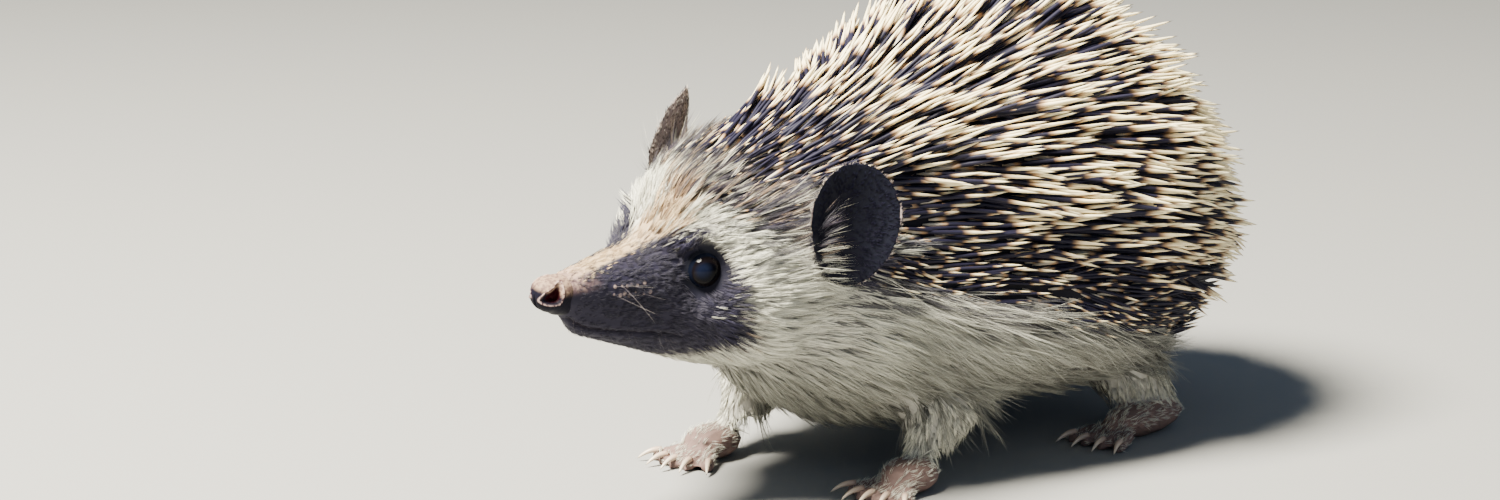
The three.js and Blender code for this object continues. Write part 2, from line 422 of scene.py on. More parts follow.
# %% [markdown]
# A lid is a roll of thin skin that lies on the eyeball. Each place near an eye is given by its angle from
# the middle of the eye and its distance from the eyeball's centre. Inside the opening it goes behind the
# eyeball, at the opening it comes out as a thin edge, then it thickens into the lid with fine folds,
# and further out it is left more and more as it was.

# %% Lids that fold round the eyeballs
LID_OPENING = 63.0  # degrees from the middle of the eye to the lid's edge
LID_EDGE, LID_THICKNESS = 0.08, 0.38
LID_FOLD = 0.07
LID_FADE = (5.2, 7.5)  # the lid ends between these distances from the eyeball's centre


def lid_shape(places, side):
    """Moves places near one eye so that a lid wraps round the eyeball, and tells how much lid each one is."""
    axis = unit(np.array([LOOK[0], LOOK[1] * SIDES[side], LOOK[2]]))
    spoke = places - EYE[side]
    distance = np.linalg.norm(spoke, axis=1)
    angle = np.degrees(np.arccos(np.clip(unit(spoke) @ axis, -1, 1))) - LID_OPENING
    lid = EYE_RADIUS + LID_EDGE + (LID_THICKNESS - LID_EDGE) * ramp(angle, 0, 9)
    folds = LID_FOLD * np.sin(angle * 0.5) * ramp(angle, 5, 12)
    behind = EYE_RADIUS * 0.82
    wanted = behind + (lid + folds - behind) * ramp(angle, -4, 0)
    grip = (1 - ramp(angle, 16, 62)) * (1 - ramp(distance, *LID_FADE))
    moved = EYE[side] + unit(spoke) * (distance + (wanted - distance) * grip)[:, None]
    ring = grip * (1 - ramp(angle, 6, 16)) * (distance < LID_FADE[1])
    return moved, ring


places = in_face(points_of(shell))
lid_ring = np.zeros(len(places))
for side in SIDES:
    near = np.linalg.norm(places - EYE[side], axis=1) < LID_FADE[1]
    places[near], ring = lid_shape(places[near], side)
    lid_ring[near] = np.maximum(lid_ring[near], ring)
set_points(shell, from_face(places))
print("vertices in the lids:", int((lid_ring > 0.5).sum()))

# %% [markdown]
# The whiskers grow from small pale bumps in two rows on each side. The mouth is a groove between two low
# ridges, along a line that is first laid on the skin. All of these are heights along the normals, added up
# and then applied once. Last, the skin just under the nose is drawn in a little, so that the nose stands
# proud of it.

# %% Whisker pads, mouth and chin
# Two rows on the right side, each with its front end, its back end and the number of whiskers
WHISKER_ROWS = (((9.0, 4.9, 0.2), (14.2, 6.1, -0.3), 6), ((8.6, 5.0, -1.1), (14.6, 6.6, -1.8), 7))
BUMP_RADIUS, BUMP_HEIGHT = 0.34, 0.16
MOUTH = ((2.4, 1.4, -4.8), (6.2, 3.0, -7.0), (11.0, 4.6, -8.4), (16.0, 6.2, -9.6), (20.0, 7.6, -10.4))
MOUTH_HALF_WIDTH, MOUTH_DEPTH = 0.34, 0.42
LIP_HEIGHT = 0.10
LIP_FROM_MOUTH, LIP_HALF_WIDTH = 1.1, 0.7


def whisker_places():
    """Where the whiskers grow, in the face's frame. The sines keep the rows from looking ruled."""
    for hand in SIDES.values():
        for start, end, count in WHISKER_ROWS:
            for k in range(count):
                share = (k + 0.30 * math.sin(5.1 * k + start[0])) / (count - 1)
                place = np.array(start) * (1 - share) + np.array(end) * share
                place[2] += 0.24 * math.sin(2.7 * k + 3 * start[2])
                yield place * np.array([1.0, hand, 1.0])


def along_mouth(corners, steps):
    """Places on the line through the corners; step 1.5 is half way from the second to the third."""
    return np.stack([np.interp(steps, range(len(corners)), corners[:, k]) for k in range(3)], 1)


def distance_to_line(places, corners):
    best = np.full(len(places), 1e9)
    for first, last in zip(corners[:-1], corners[1:]):
        run = last - first
        share = np.clip((places - first) @ run / (run @ run), 0, 1)
        best = np.minimum(best, np.linalg.norm(places - first - share[:, None] * run, axis=1))
    return best


normals = normals_of(shell) @ face_axes.T
lift = np.zeros(len(places))
pads = np.zeros(len(places))
surface = places.copy()
for follicle in whisker_places():
    near = np.nonzero(np.linalg.norm(surface - follicle, axis=1) < 4)[0]
    nearest = surface[near[np.argmin(np.linalg.norm(surface[near] - follicle, axis=1))]]
    radius = BUMP_RADIUS + 0.08 * math.sin(9 * follicle[0])
    distance = np.linalg.norm(surface[near] - nearest, axis=1)
    pads[near] = np.maximum(pads[near], np.exp(-((distance / radius) ** 2)))
lift += BUMP_HEIGHT * pads
mouth = np.zeros(len(places))
for hand in SIDES.values():
    steps = along_mouth(np.array(MOUTH) * (1.0, hand, 1.0), np.linspace(0, len(MOUTH) - 1, 41))
    on_surface = np.array([surface[np.argmin(np.linalg.norm(surface - step, axis=1))] for step in steps])
    on_surface[1:-1] = (on_surface[:-2] + on_surface[1:-1] + on_surface[2:]) / 3
    line = distance_to_line(surface, on_surface)
    mouth = np.maximum(mouth, np.exp(-((line / MOUTH_HALF_WIDTH) ** 2)))
    lift += LIP_HEIGHT * np.exp(-(((line - LIP_FROM_MOUTH) / LIP_HALF_WIDTH) ** 2))
lift -= MOUTH_DEPTH * mouth
places = surface + normals * lift[:, None]
near_nose = (1 - ramp(places[:, 0], 0.4, 1.7)) * (1 - ramp(np.linalg.norm(places, axis=1), 3.6, 4.6))
places = places * (1 - 0.45 * near_nose)[:, None]
set_points(shell, from_face(places))
print("follicles:", len(list(whisker_places())))

# %% [markdown]
# ## The markings
# The face has a dark mask from the nose to just behind the eyes, a white band over each eye that widens
# into a white cheek, a brown stripe up the forehead that darkens towards the quills, and a beige bridge to
# the nose. Dark hair also grows behind the ears and along the hem, and a thin dark ring frames each eye. The
# dark patch at each temple is partly dark hair and partly painted shade by the ear. Most of these are given
# by angles round the muzzle and by distances back from the nose. The skin and every tuft ask this one
# function, so the markings of skin and coat always agree.

# %% One function for all the markings
# The upper edges of the mask and of the white band give an angle for each distance back from the nose
MASK_TOP = ((0, 8, 17, 19.7, 23, 25.4, 26.6, 28), (48, 56, 66, 57, 37, 22, 6, -6))
BAND_TOP = ((17, 20, 22.5, 24.7, 27, 29.3, 32, 36, 42), (44, 52, 69, 76, 69, 56, 40, 25, 10))
# The back edge of the mask gives a distance back for each angle
MASK_BACK = (
    (-80, -57, -50, -42, -34, -27, -20, -12, -2, 9, 20, 40),
    (22, 25.2, 26, 27, 28.2, 28.4, 27.2, 27.0, 28.3, 29.2, 29.0, 28),
)
FAR_BAND = 4.0  # degrees by which the band reaches higher on the right
STRIPE_MIDDLE = -2.2  # the brown stripe runs a little to the left of the middle
SOFT_EDGE = 6.0  # degrees on each side of an edge over which one marking turns into the next
EYE_RING = (1.0, 2.0)  # the dark ring fades between these distances from the eyeball
# Dark patches on the head: distance back, height, and how far each reaches both ways; the one at the temple
# is partly painted shade by the ear
TEMPLE_HAIR_AND_SHADE = (37, 7.5, 8, 5)
BEHIND_EAR = (53, -4.5, 9, 6)


def angle_round_muzzle(places, middle=0.0):
    """Degrees above the nose-to-eye line, seen from in front."""
    return np.degrees(np.arctan2(places[:, 2], np.abs(places[:, 1] - middle)))


def soft_patch(places, middle_back, middle_up, long_way, short_way):
    """A soft round patch, 1 in its middle."""
    along = (places[:, 0] - middle_back) / long_way
    across = (places[:, 2] - middle_up) / short_way
    return np.exp(-(along**2) - across**2)


def marks_at(points):
    """How dark, how brown and how beige the hair is, each from 0 to 1; the rest is white."""
    places = in_face(points)
    back, side, _ = places.T
    angle = angle_round_muzzle(places)
    mask_back = np.interp(angle, *MASK_BACK)
    mask = ramp(np.interp(back, *MASK_TOP) - angle, -SOFT_EDGE, SOFT_EDGE)
    mask = mask * (1 - ramp(back, mask_back - 1.8, mask_back + 1.4))
    to_eye = np.min([np.linalg.norm(places - eye, axis=1) for eye in EYE.values()], axis=0) - EYE_RADIUS
    mask = np.maximum(mask, 1 - ramp(to_eye, *EYE_RING))

    band_top = np.interp(back, *BAND_TOP) + FAR_BAND * (side > STRIPE_MIDDLE)
    stripe = ramp(angle_round_muzzle(places, STRIPE_MIDDLE) - band_top, -SOFT_EDGE, SOFT_EDGE)
    brown = stripe * (0.34 * ramp(back, 15, 19) + 0.60 * ramp(back, 21.5, 27))
    brown = np.maximum(brown, 0.6 * mask)
    dark = np.maximum(0.97 * mask, stripe * 0.72 * ramp(back, 23.5, 29))

    bridge = (1 - ramp(back, 15, 21)) * ramp(angle, 20, 40)
    beige = (1 - dark) * np.maximum(bridge, 0.9 * stripe * ramp(back, 14, 18))
    by_the_hem = (1 - ramp(-quill_margin(points), 0.5, 5.0)) * ramp(back, 44, 48)
    by_the_hem = by_the_hem * (0.62 - 0.22 * ramp(points[:, 0] / MM, -25, 40))
    behind_ear = 0.95 * soft_patch(places, *BEHIND_EAR)
    # At the temple the dark is partly hair and partly painted shade by the ear
    temple_hair_and_shade = 0.85 * soft_patch(places, *TEMPLE_HAIR_AND_SHADE) * ramp(np.abs(side), 8, 11)
    dark = np.max([dark, by_the_hem, behind_ear, temple_hair_and_shade], axis=0)
    return np.stack([dark, brown * (1 - dark), beige], axis=1)


print("marks on top of the forehead:", marks_at(from_face([[30.0, 0.0, 12.0]])).round(2))

# %% [markdown]
# The skin keeps its markings as an attribute, so its material needs no picture. The other bare or special
# places are kept in the same way: lids, whisker bumps, mouth line, the skin under the quills, the top of
# the muzzle just behind the nose, and the outer side of the ears.

# %% Markings and other masks kept with the skin
EAR_FACES = (-0.62, 1.0, 0.12)  # the way the right ear's hollow faces


def on_ear_back(points, normals):
    """1 on the outer side of the ears, 0 in their hollow."""
    hollow = np.tile(EAR_FACES, (len(points), 1))
    hollow[:, 1] *= np.sign(points[:, 1])
    return ramp(-np.einsum("ij,ij->i", normals, unit(hollow)), -0.1, 0.35)


points = points_of(shell)
places = in_face(points)
muzzle_top = (1 - ramp(places[:, 0], 2.4, 8.5)) * ramp(places[:, 2], -0.4, 1.4)
put_attribute(shell, "marks", "FLOAT_VECTOR", marks_at(points))
put_attribute(shell, "lid", "FLOAT", lid_ring)
put_attribute(shell, "pads", "FLOAT", pads)
put_attribute(shell, "mouth", "FLOAT", mouth)
put_attribute(shell, "under_quills", "FLOAT", ramp(quill_margin(points), -3, 3))
put_attribute(shell, "muzzle_top", "FLOAT", muzzle_top)
put_attribute(shell, "ear_back", "FLOAT", on_ear_back(points, normals_of(shell)))
smooth(shell)
shell.update()
print("attributes on the skin:", [a.name for a in shell.attributes if not a.name.startswith(".")])

# %% [markdown]
# ## Finishes
# Two small node groups are shared by the materials: one turns the markings into the colour of hair, and
# one gives the fine grain and the mottling of bare skin. They put out colours and masks only, and the
# shaders themselves stay in each material. The helpers below let a node tree be written down in a few
# short lines.

# %% Helpers to write a node tree down briefly


def new_group(name, inputs, outputs):
    group = bpy.data.node_groups.new(name, "ShaderNodeTree")
    for title, kind, value in inputs:
        socket = group.interface.new_socket(title, in_out="INPUT", socket_type=kind)
        socket.default_value = value
    for title, kind in outputs:
        group.interface.new_socket(title, in_out="OUTPUT", socket_type=kind)
    return group, group.nodes.new("NodeGroupInput"), group.nodes.new("NodeGroupOutput")


def node(tree, kind, inputs=(), **settings):
    made = tree.nodes.new(kind)
    for key, value in settings.items():
        setattr(made, key, value)
    for key, value in dict(inputs).items():
        if isinstance(value, bpy.types.NodeSocket):
            tree.links.new(value, made.inputs[key])
        else:
            made.inputs[key].default_value = value
    return made


def mix(tree, share, first, second):
    made = node(tree, "ShaderNodeMix", {0: share, 6: first, 7: second}, data_type="RGBA")
    return made.outputs[2]


def maths(tree, operation, *values):
    return node(tree, "ShaderNodeMath", dict(enumerate(values)), operation=operation).outputs[0]


def between(tree, value, low, high):
    made = node(tree, "ShaderNodeMapRange", {0: value, 1: low, 2: high}, interpolation_type="SMOOTHSTEP")
    return made.outputs[0]


def factor(tree, name):
    """A number that is kept with the mesh."""
    return node(tree, "ShaderNodeAttribute", attribute_name=name).outputs["Fac"]


def marks_of(tree):
    """The markings as a vector: dark, brown and beige."""
    return node(tree, "ShaderNodeAttribute", attribute_name="marks").outputs["Vector"]


def parts_of(tree, vector):
    return node(tree, "ShaderNodeSeparateXYZ", {0: vector}).outputs


def rgb(red, green, blue):
    return (red, green, blue, 1.0)


print("ready to build node trees")

# %% [markdown]
# Each kind of hair has a colour at its root and one at its tip. The group mixes them by how far along the
# hair a point is, lays brown, beige and dark over the white by the markings, and then makes each hair a
# little lighter or darker by chance, as no two hairs are alike.

# %% The colour of hair: markings, root to tip, and a little chance
PALE_ROOT, PALE_TIP = rgb(0.44, 0.42, 0.38), rgb(0.97, 0.96, 0.80)
DARK_ROOT, DARK_TIP = rgb(0.013, 0.011, 0.024), rgb(0.028, 0.025, 0.058)
BROWN_ROOT, BROWN_TIP = rgb(0.060, 0.032, 0.026), rgb(0.40, 0.235, 0.125)
BEIGE_ROOT, BEIGE_TIP = rgb(0.40, 0.27, 0.17), rgb(0.92, 0.72, 0.45)

coat_colour, given, result = new_group(
    "Coat_colour",
    [
        ("Marks", "NodeSocketVector", (0, 0, 0)),
        ("Along", "NodeSocketFloat", 1.0),
        ("Chance", "NodeSocketFloat", 0.5),
    ],
    [("Colour", "NodeSocketColor")],
)
how_dark, how_brown, how_beige = parts_of(coat_colour, given.outputs["Marks"])
along = given.outputs["Along"]
pale = mix(coat_colour, along, PALE_ROOT, PALE_TIP)
beige = mix(coat_colour, along, BEIGE_ROOT, BEIGE_TIP)
brown = mix(coat_colour, along, BROWN_ROOT, BROWN_TIP)
dark = mix(coat_colour, along, DARK_ROOT, DARK_TIP)
colour = mix(coat_colour, how_beige, pale, beige)
colour = mix(coat_colour, how_brown, colour, brown)
colour = mix(coat_colour, how_dark, colour, dark)
shade = maths(coat_colour, "MULTIPLY_ADD", given.outputs["Chance"], 0.55, 0.66)
colour = node(coat_colour, "ShaderNodeVectorMath", {0: colour, 3: shade}, operation="SCALE").outputs[0]
coat_colour.links.new(colour, result.inputs[0])
print("group", coat_colour.name, "has", len(coat_colour.nodes), "nodes")

# %% [markdown]
# Bare skin is a net of small cells with wrinkles over it. The group gives its height for a bump, and the
# slow part alone as a mottle that lets the colour vary. Sizes are given in millimetres.

# %% Skin grain: small cells and fine wrinkles
skin_grain, given, result = new_group(
    "Skin_grain",
    [("Cell size", "NodeSocketFloat", 0.4), ("Wrinkle size", "NodeSocketFloat", 1.2)],
    [("Height", "NodeSocketFloat"), ("Mottle", "NodeSocketFloat")],
)
where = node(skin_grain, "ShaderNodeTexCoord").outputs["Object"]
per_metre = maths(skin_grain, "DIVIDE", 1 / MM, given.outputs["Cell size"])
cells = node(skin_grain, "ShaderNodeTexVoronoi", {"Vector": where, "Scale": per_metre})
per_metre = maths(skin_grain, "DIVIDE", 1 / MM, given.outputs["Wrinkle size"])
folds = node(skin_grain, "ShaderNodeTexNoise", {"Vector": where, "Scale": per_metre, "Detail": 4.0})
height = maths(skin_grain, "MULTIPLY_ADD", cells.outputs["Distance"], 0.6, folds.outputs[0])
skin_grain.links.new(height, result.inputs[0])
skin_grain.links.new(folds.outputs[0], result.inputs[1])


def material(name, roughness=0.5, specular=0.5):
    made = bpy.data.materials.new(name)
    made.use_nodes = True
    shader = made.node_tree.nodes["Principled BSDF"]
    shader.inputs["Roughness"].default_value = roughness
    shader.inputs["Specular IOR Level"].default_value = specular
    return made, made.node_tree, shader


def use_group(tree, group, **inputs):
    made = tree.nodes.new("ShaderNodeGroup")
    made.node_tree = group
    for key, value in inputs.items():
        key = key.replace("_", " ")
        if isinstance(value, bpy.types.NodeSocket):
            tree.links.new(value, made.inputs[key])
        else:
            made.inputs[key].default_value = value
    return made


def bump(tree, shader, height, depth_mm, strength=1.0):
    made = node(tree, "ShaderNodeBump", {"Height": height, "Distance": depth_mm * MM, "Strength": strength})
    tree.links.new(made.outputs[0], shader.inputs["Normal"])


print("group", skin_grain.name, "has", len(skin_grain.nodes), "nodes")

# %% [markdown]
# The skin carries the same markings as the coat, because short fur that lies flat is little more than a
# colour and a grain. It takes the colour that hair has near its root, which paints the skin between the locks
# dark as the shade that falls there, and under the dark mask it is painted darker still. Over that go the
# bare places one by one: dark hollows and paler backs of the ears, pinkish feet, nearly black lids, blotched
# pink just behind the nose, pale bumps where whiskers grow and the dark mouth line.

# %% The skin: short flat fur over the face, bare ears, lids and feet
UNDER_QUILLS = rgb(0.010, 0.009, 0.015)
# Painted shade: the skin under the dark mask, darker than the hair on it
SHADE_UNDER_MASK = rgb(0.008, 0.007, 0.020)
EAR_SKIN, EAR_LIT = rgb(0.002, 0.002, 0.006), rgb(0.004, 0.005, 0.012)
EAR_BACK = rgb(0.24, 0.19, 0.18)
FOOT_SKIN, FOOT_CREASES = rgb(0.22, 0.145, 0.125), rgb(0.10, 0.066, 0.062)
LID_SKIN = rgb(0.0022, 0.0026, 0.007)
MUZZLE_PINK, MUZZLE_BLOTCHES = rgb(0.30, 0.20, 0.165), rgb(0.13, 0.080, 0.078)
BRIDGE = rgb(0.25, 0.17, 0.10)
WHISKER_BUMP = rgb(0.34, 0.25, 0.22)
MOUTH_LINE = rgb(0.010, 0.007, 0.012)

skin_finish, tree, shader = material("Skin_and_short_fur", 0.62, 0.12)
grain = use_group(tree, skin_grain, Cell_size=0.22, Wrinkle_size=0.9)
mottle = grain.outputs["Mottle"]
marks = marks_of(tree)
masked, _, beige = parts_of(tree, marks)
# Painted shade: the skin takes the colour that hair has near its root, as the shade between the locks
along_for_shade = maths(tree, "MULTIPLY_ADD", beige, 0.30, 0.10)
short_fur = use_group(tree, coat_colour, Marks=marks, Along=along_for_shade, Chance=mottle)
colour = short_fur.outputs[0]
colour = mix(tree, maths(tree, "MULTIPLY", beige, 0.7), colour, BRIDGE)
# Painted shade: under the mask the skin is darker still, as the shade among the dark hairs
colour = mix(tree, maths(tree, "MULTIPLY", masked, 0.65), colour, SHADE_UNDER_MASK)
colour = mix(tree, factor(tree, "under_quills"), colour, UNDER_QUILLS)
bare_ear = mix(tree, mottle, EAR_SKIN, EAR_LIT)
bare_ear = mix(tree, factor(tree, "ear_back"), bare_ear, EAR_BACK)
colour = mix(tree, factor(tree, "ear"), colour, bare_ear)
bare_foot = mix(tree, mottle, FOOT_SKIN, FOOT_CREASES)
colour = mix(tree, factor(tree, "foot"), colour, bare_foot)
colour = mix(tree, factor(tree, "lid"), colour, LID_SKIN)
pink = maths(tree, "MULTIPLY", factor(tree, "muzzle_top"), 0.8)
blotched = mix(tree, between(tree, mottle, 0.42, 0.58), MUZZLE_BLOTCHES, MUZZLE_PINK)
colour = mix(tree, pink, colour, blotched)
pale_dots = between(tree, factor(tree, "pads"), 0.35, 0.8)
colour = mix(tree, maths(tree, "MULTIPLY", pale_dots, 0.8), colour, WHISKER_BUMP)
colour = mix(tree, maths(tree, "MULTIPLY", factor(tree, "mouth"), 0.8), colour, MOUTH_LINE)
tree.links.new(colour, shader.inputs["Base Color"])
on_lid = maths(tree, "MULTIPLY_ADD", factor(tree, "lid"), -0.85, 1.0)
bump(tree, shader, maths(tree, "MULTIPLY", grain.outputs["Height"], on_lid), 0.06, 0.7)
shell.materials.clear()
shell.materials.append(skin_finish)
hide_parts(*FLESH)
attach(skin, "root")
print("finished the skin")

# %% [markdown]
# ## The eyes
# A hedgehog's eye is a round black bead: an almost black iris, a pupil that can hardly be told from it and
# a clear wet front. Each eyeball is a ball with a slightly raised cornea, turned to where the eye looks. A
# faint blue patch to one side is a painted reflection of the sky. It is a soft spot kept with the mesh, so it
# stays where it is when the view changes.

# %% Two glossy eyeballs
CORNEA_ANGLE = 46.0  # degrees from the middle of the eye
CORNEA_RISE = 0.16
PAINTED_REFLECTION_WAY = (-0.73, 0.86, 0.32)  # where the painted sky reflection lies in the right eye
PAINTED_REFLECTION_FADE = (10, 32)  # in degrees from the middle of the painted reflection
PUPIL, IRIS = rgb(0.001, 0.001, 0.002), rgb(0.0035, 0.0025, 0.003)
# The dark edge of the eye, and the blue of a painted reflection of the sky
EYE_EDGE, PAINTED_SKY_REFLECTION = rgb(0.003, 0.004, 0.009), rgb(0.0035, 0.005, 0.013)

eye_finish, tree, shader = material("Wet_dark_eye", 0.04, 0.06)
from_middle = factor(tree, "from_middle")
colour = mix(tree, between(tree, from_middle, 26, 30), PUPIL, IRIS)
colour = mix(tree, between(tree, from_middle, 44, 52), colour, EYE_EDGE)
# Painted reflection: a soft blue patch of sky laid over one side of the eye
colour = mix(tree, factor(tree, "painted_reflection"), colour, PAINTED_SKY_REFLECTION)
tree.links.new(colour, shader.inputs["Base Color"])

for side, hand in SIDES.items():
    bm = bmesh.new()
    bmesh.ops.create_uvsphere(bm, u_segments=72, v_segments=48, radius=EYE_RADIUS)
    ball = mesh_from(bm, f"eyeball_{side}")
    rest = points_of(ball)
    from_middle = np.degrees(np.arccos(np.clip(rest[:, 2] / EYE_RADIUS, -1, 1)))
    swell = 1 + CORNEA_RISE / EYE_RADIUS * (1 - ramp(from_middle, CORNEA_ANGLE * 0.5, CORNEA_ANGLE * 1.25))
    look = Vector((LOOK[0], LOOK[1] * hand, LOOK[2])).normalized()
    turn = np.array(look.to_track_quat("Z", "Y").to_matrix())
    set_points(ball, from_face(EYE[side] + (rest * swell[:, None]) @ turn.T))
    put_attribute(ball, "from_middle", "FLOAT", from_middle)
    # Where the painted sky reflection lies on this eyeball, and how it fades
    spoke = unit(in_face(points_of(ball)) - EYE[side])
    from_painted_reflection = np.degrees(np.arccos(np.clip(spoke @ unit(np.array(PAINTED_REFLECTION_WAY) * (1, hand, 1)), -1, 1)))
    put_attribute(ball, "painted_reflection", "FLOAT", 1 - ramp(from_painted_reflection, *PAINTED_REFLECTION_FADE))
    smooth(ball)
    ball.materials.append(eye_finish)
    eyeball = add_object(f"eyeball_{side}", ball)
    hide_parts(f"eye_{side}")
    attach(eyeball, "root")
print("eyeballs of", round(2 * EYE_RADIUS, 2), "mm")

# %% [markdown]
# ## The nose
# The nose is moist leather: dark in front and below, and pale and blotched on top, where the paleness is
# painted light. It has a comma-shaped nostril opening to each side and a groove down the middle. It starts
# as a ball with the radii of the solid nose and is then modelled by what lies where on it, much as the face
# was. A nostril is measured from its middle, along its length and across it, and is bent and narrowed into
# the shape of a comma.

# %% A nose with nostrils
NOSE_HALF_LENGTH = 3.0
NOSTRIL_LOOK = (-0.34, 0.86, 0.30)
NOSTRIL_RUN = (0.75, 0.0, 0.66)  # the comma's tail runs back and up
NOSTRIL_HALF = (0.66, 0.42)  # half length and half width, in radii of the nose
NOSTRIL_BEND = 0.55
NOSTRIL_DEPTH, RIM_HEIGHT, GROOVE_DEPTH = 1.45, 0.16, 0.30
NOSE_TAIL = 2.0  # the back of the ball is drawn out into the muzzle, so that the two run together
NOSE_DROP = 1.3  # and its lower back runs down into the lip, in mm

low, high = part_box("nose")
nose_radii = np.array([NOSE_HALF_LENGTH, max(high - low) / 2 / MM, (high.z - low.z) / 2 / MM])
bm = bmesh.new()
bmesh.ops.create_icosphere(bm, subdivisions=6, radius=1.0)
nose_mesh = mesh_from(bm, "nose_leather")
ways = points_of(nose_mesh)
pit = np.zeros(len(ways))
rim = np.zeros(len(ways))
for hand in SIDES.values():
    middle = unit(np.array(NOSTRIL_LOOK) * (1, hand, 1))
    run = np.array(NOSTRIL_RUN)
    run = unit(run - middle * (run @ middle))
    along = (ways - middle) @ run
    aside = (ways - middle) @ np.cross(middle, run) + NOSTRIL_BEND * along**2 * hand
    narrowing = 1.0 - 0.45 * np.clip(along / NOSTRIL_HALF[0], -0.3, 1)
    reach = np.hypot(along / NOSTRIL_HALF[0], aside / (NOSTRIL_HALF[1] * narrowing))
    reach = np.where(ways @ middle > 0.2, reach, 9.0)
    pit = np.maximum(pit, 1 - ramp(reach, 0.55, 1.05))
    rim = np.maximum(rim, np.exp(-(((reach - 1.08) / 0.055) ** 2)))
groove = np.exp(-((ways[:, 1] / 0.07) ** 2)) * ramp(-ways[:, 0], 0.1, 0.6) * ramp(-ways[:, 2], -0.5, 0.2)
rise = RIM_HEIGHT * rim - NOSTRIL_DEPTH * pit - GROOVE_DEPTH * groove
shape = ways * (nose_radii + rise[:, None])
shape[:, 0] *= np.where(ways[:, 0] > 0, NOSE_TAIL, 1.0)
shape[:, 2] -= NOSE_DROP * ramp(ways[:, 0], -0.35, 0.45) * ramp(-ways[:, 2], -0.1, 0.8)
set_points(nose_mesh, from_face(shape))
# Painted light: the top of the nose is paler, as if lit from above, and less so low at the back
painted_lit_top = ramp(ways[:, 2] + 0.38 * ways[:, 0], 0.05, 0.45)
painted_lit_top *= 1 - 0.7 * ramp(ways[:, 0], 0.1, 0.5) * (1 - ramp(ways[:, 2], 0.25, 0.7))
put_attribute(nose_mesh, "pit", "FLOAT", pit)
put_attribute(nose_mesh, "rim", "FLOAT", rim)
put_attribute(nose_mesh, "painted_lit_top", "FLOAT", painted_lit_top)
smooth(nose_mesh)
print("nose radii in mm:", nose_radii.round(2))

# %% [markdown]
# The leather takes its colours from what was modelled: near black all over, then a painted lit top of
# blotched tan, a speckled pale rim round each nostril and a deep red inside it.

# %% The nose's leather
LEATHER, LEATHER_GRAIN = rgb(0.003, 0.003, 0.007), rgb(0.008, 0.007, 0.013)
# The first pair is the painted light on the nose's top, with its blotches
NOSE_PAINTED_LIT_TOP, NOSE_BLOTCHES = rgb(0.25, 0.17, 0.12), rgb(0.13, 0.082, 0.068)
RIM_DARK, RIM_PALE = rgb(0.05, 0.026, 0.03), rgb(0.37, 0.26, 0.24)
IN_NOSTRIL = rgb(0.022, 0.002, 0.004)

nose_finish, tree, shader = material("Moist_nose_leather", 0.5, 0.04)
grain = use_group(tree, skin_grain, Cell_size=0.28, Wrinkle_size=0.5)
mottle = grain.outputs["Mottle"]
colour = mix(tree, mottle, LEATHER, LEATHER_GRAIN)
# Painted light on the top of the nose, blotched
lit_top_colour = mix(tree, between(tree, mottle, 0.42, 0.58), NOSE_BLOTCHES, NOSE_PAINTED_LIT_TOP)
colour = mix(tree, factor(tree, "painted_lit_top"), colour, lit_top_colour)
rim_colour = mix(tree, between(tree, mottle, 0.44, 0.54), RIM_DARK, RIM_PALE)
colour = mix(tree, factor(tree, "rim"), colour, rim_colour)
colour = mix(tree, between(tree, factor(tree, "pit"), 0.15, 0.6), colour, IN_NOSTRIL)
tree.links.new(colour, shader.inputs["Base Color"])
bump(tree, shader, grain.outputs["Height"], 0.07, 0.6)
nose_mesh.materials.append(nose_finish)
nose = add_object("nose_leather", nose_mesh)
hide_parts("nose")
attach(nose, "root")
print("finished the nose with", len(nose_mesh.polygons), "faces")

# %% [markdown]
# ## Planting the coat
# Quills, locks of fur, whiskers and claws are all planted in the same way. A cloud of roots says for each
# one where it stands, where it points, which way is up and how big it is. One Geometry Nodes tree puts a
# template on every root, turns it, and makes it real mesh. It also lays each one as a tiny patch in the UV
# map OFBake, at its root's place on an unwrap of the animal, so that a baked texture keeps the coat's
# markings.

# %% The planting tree
PATCH = 0.003
FLOOR_GAP = 0.05  # what would pass through the floor lies down on it, this far above, in mm


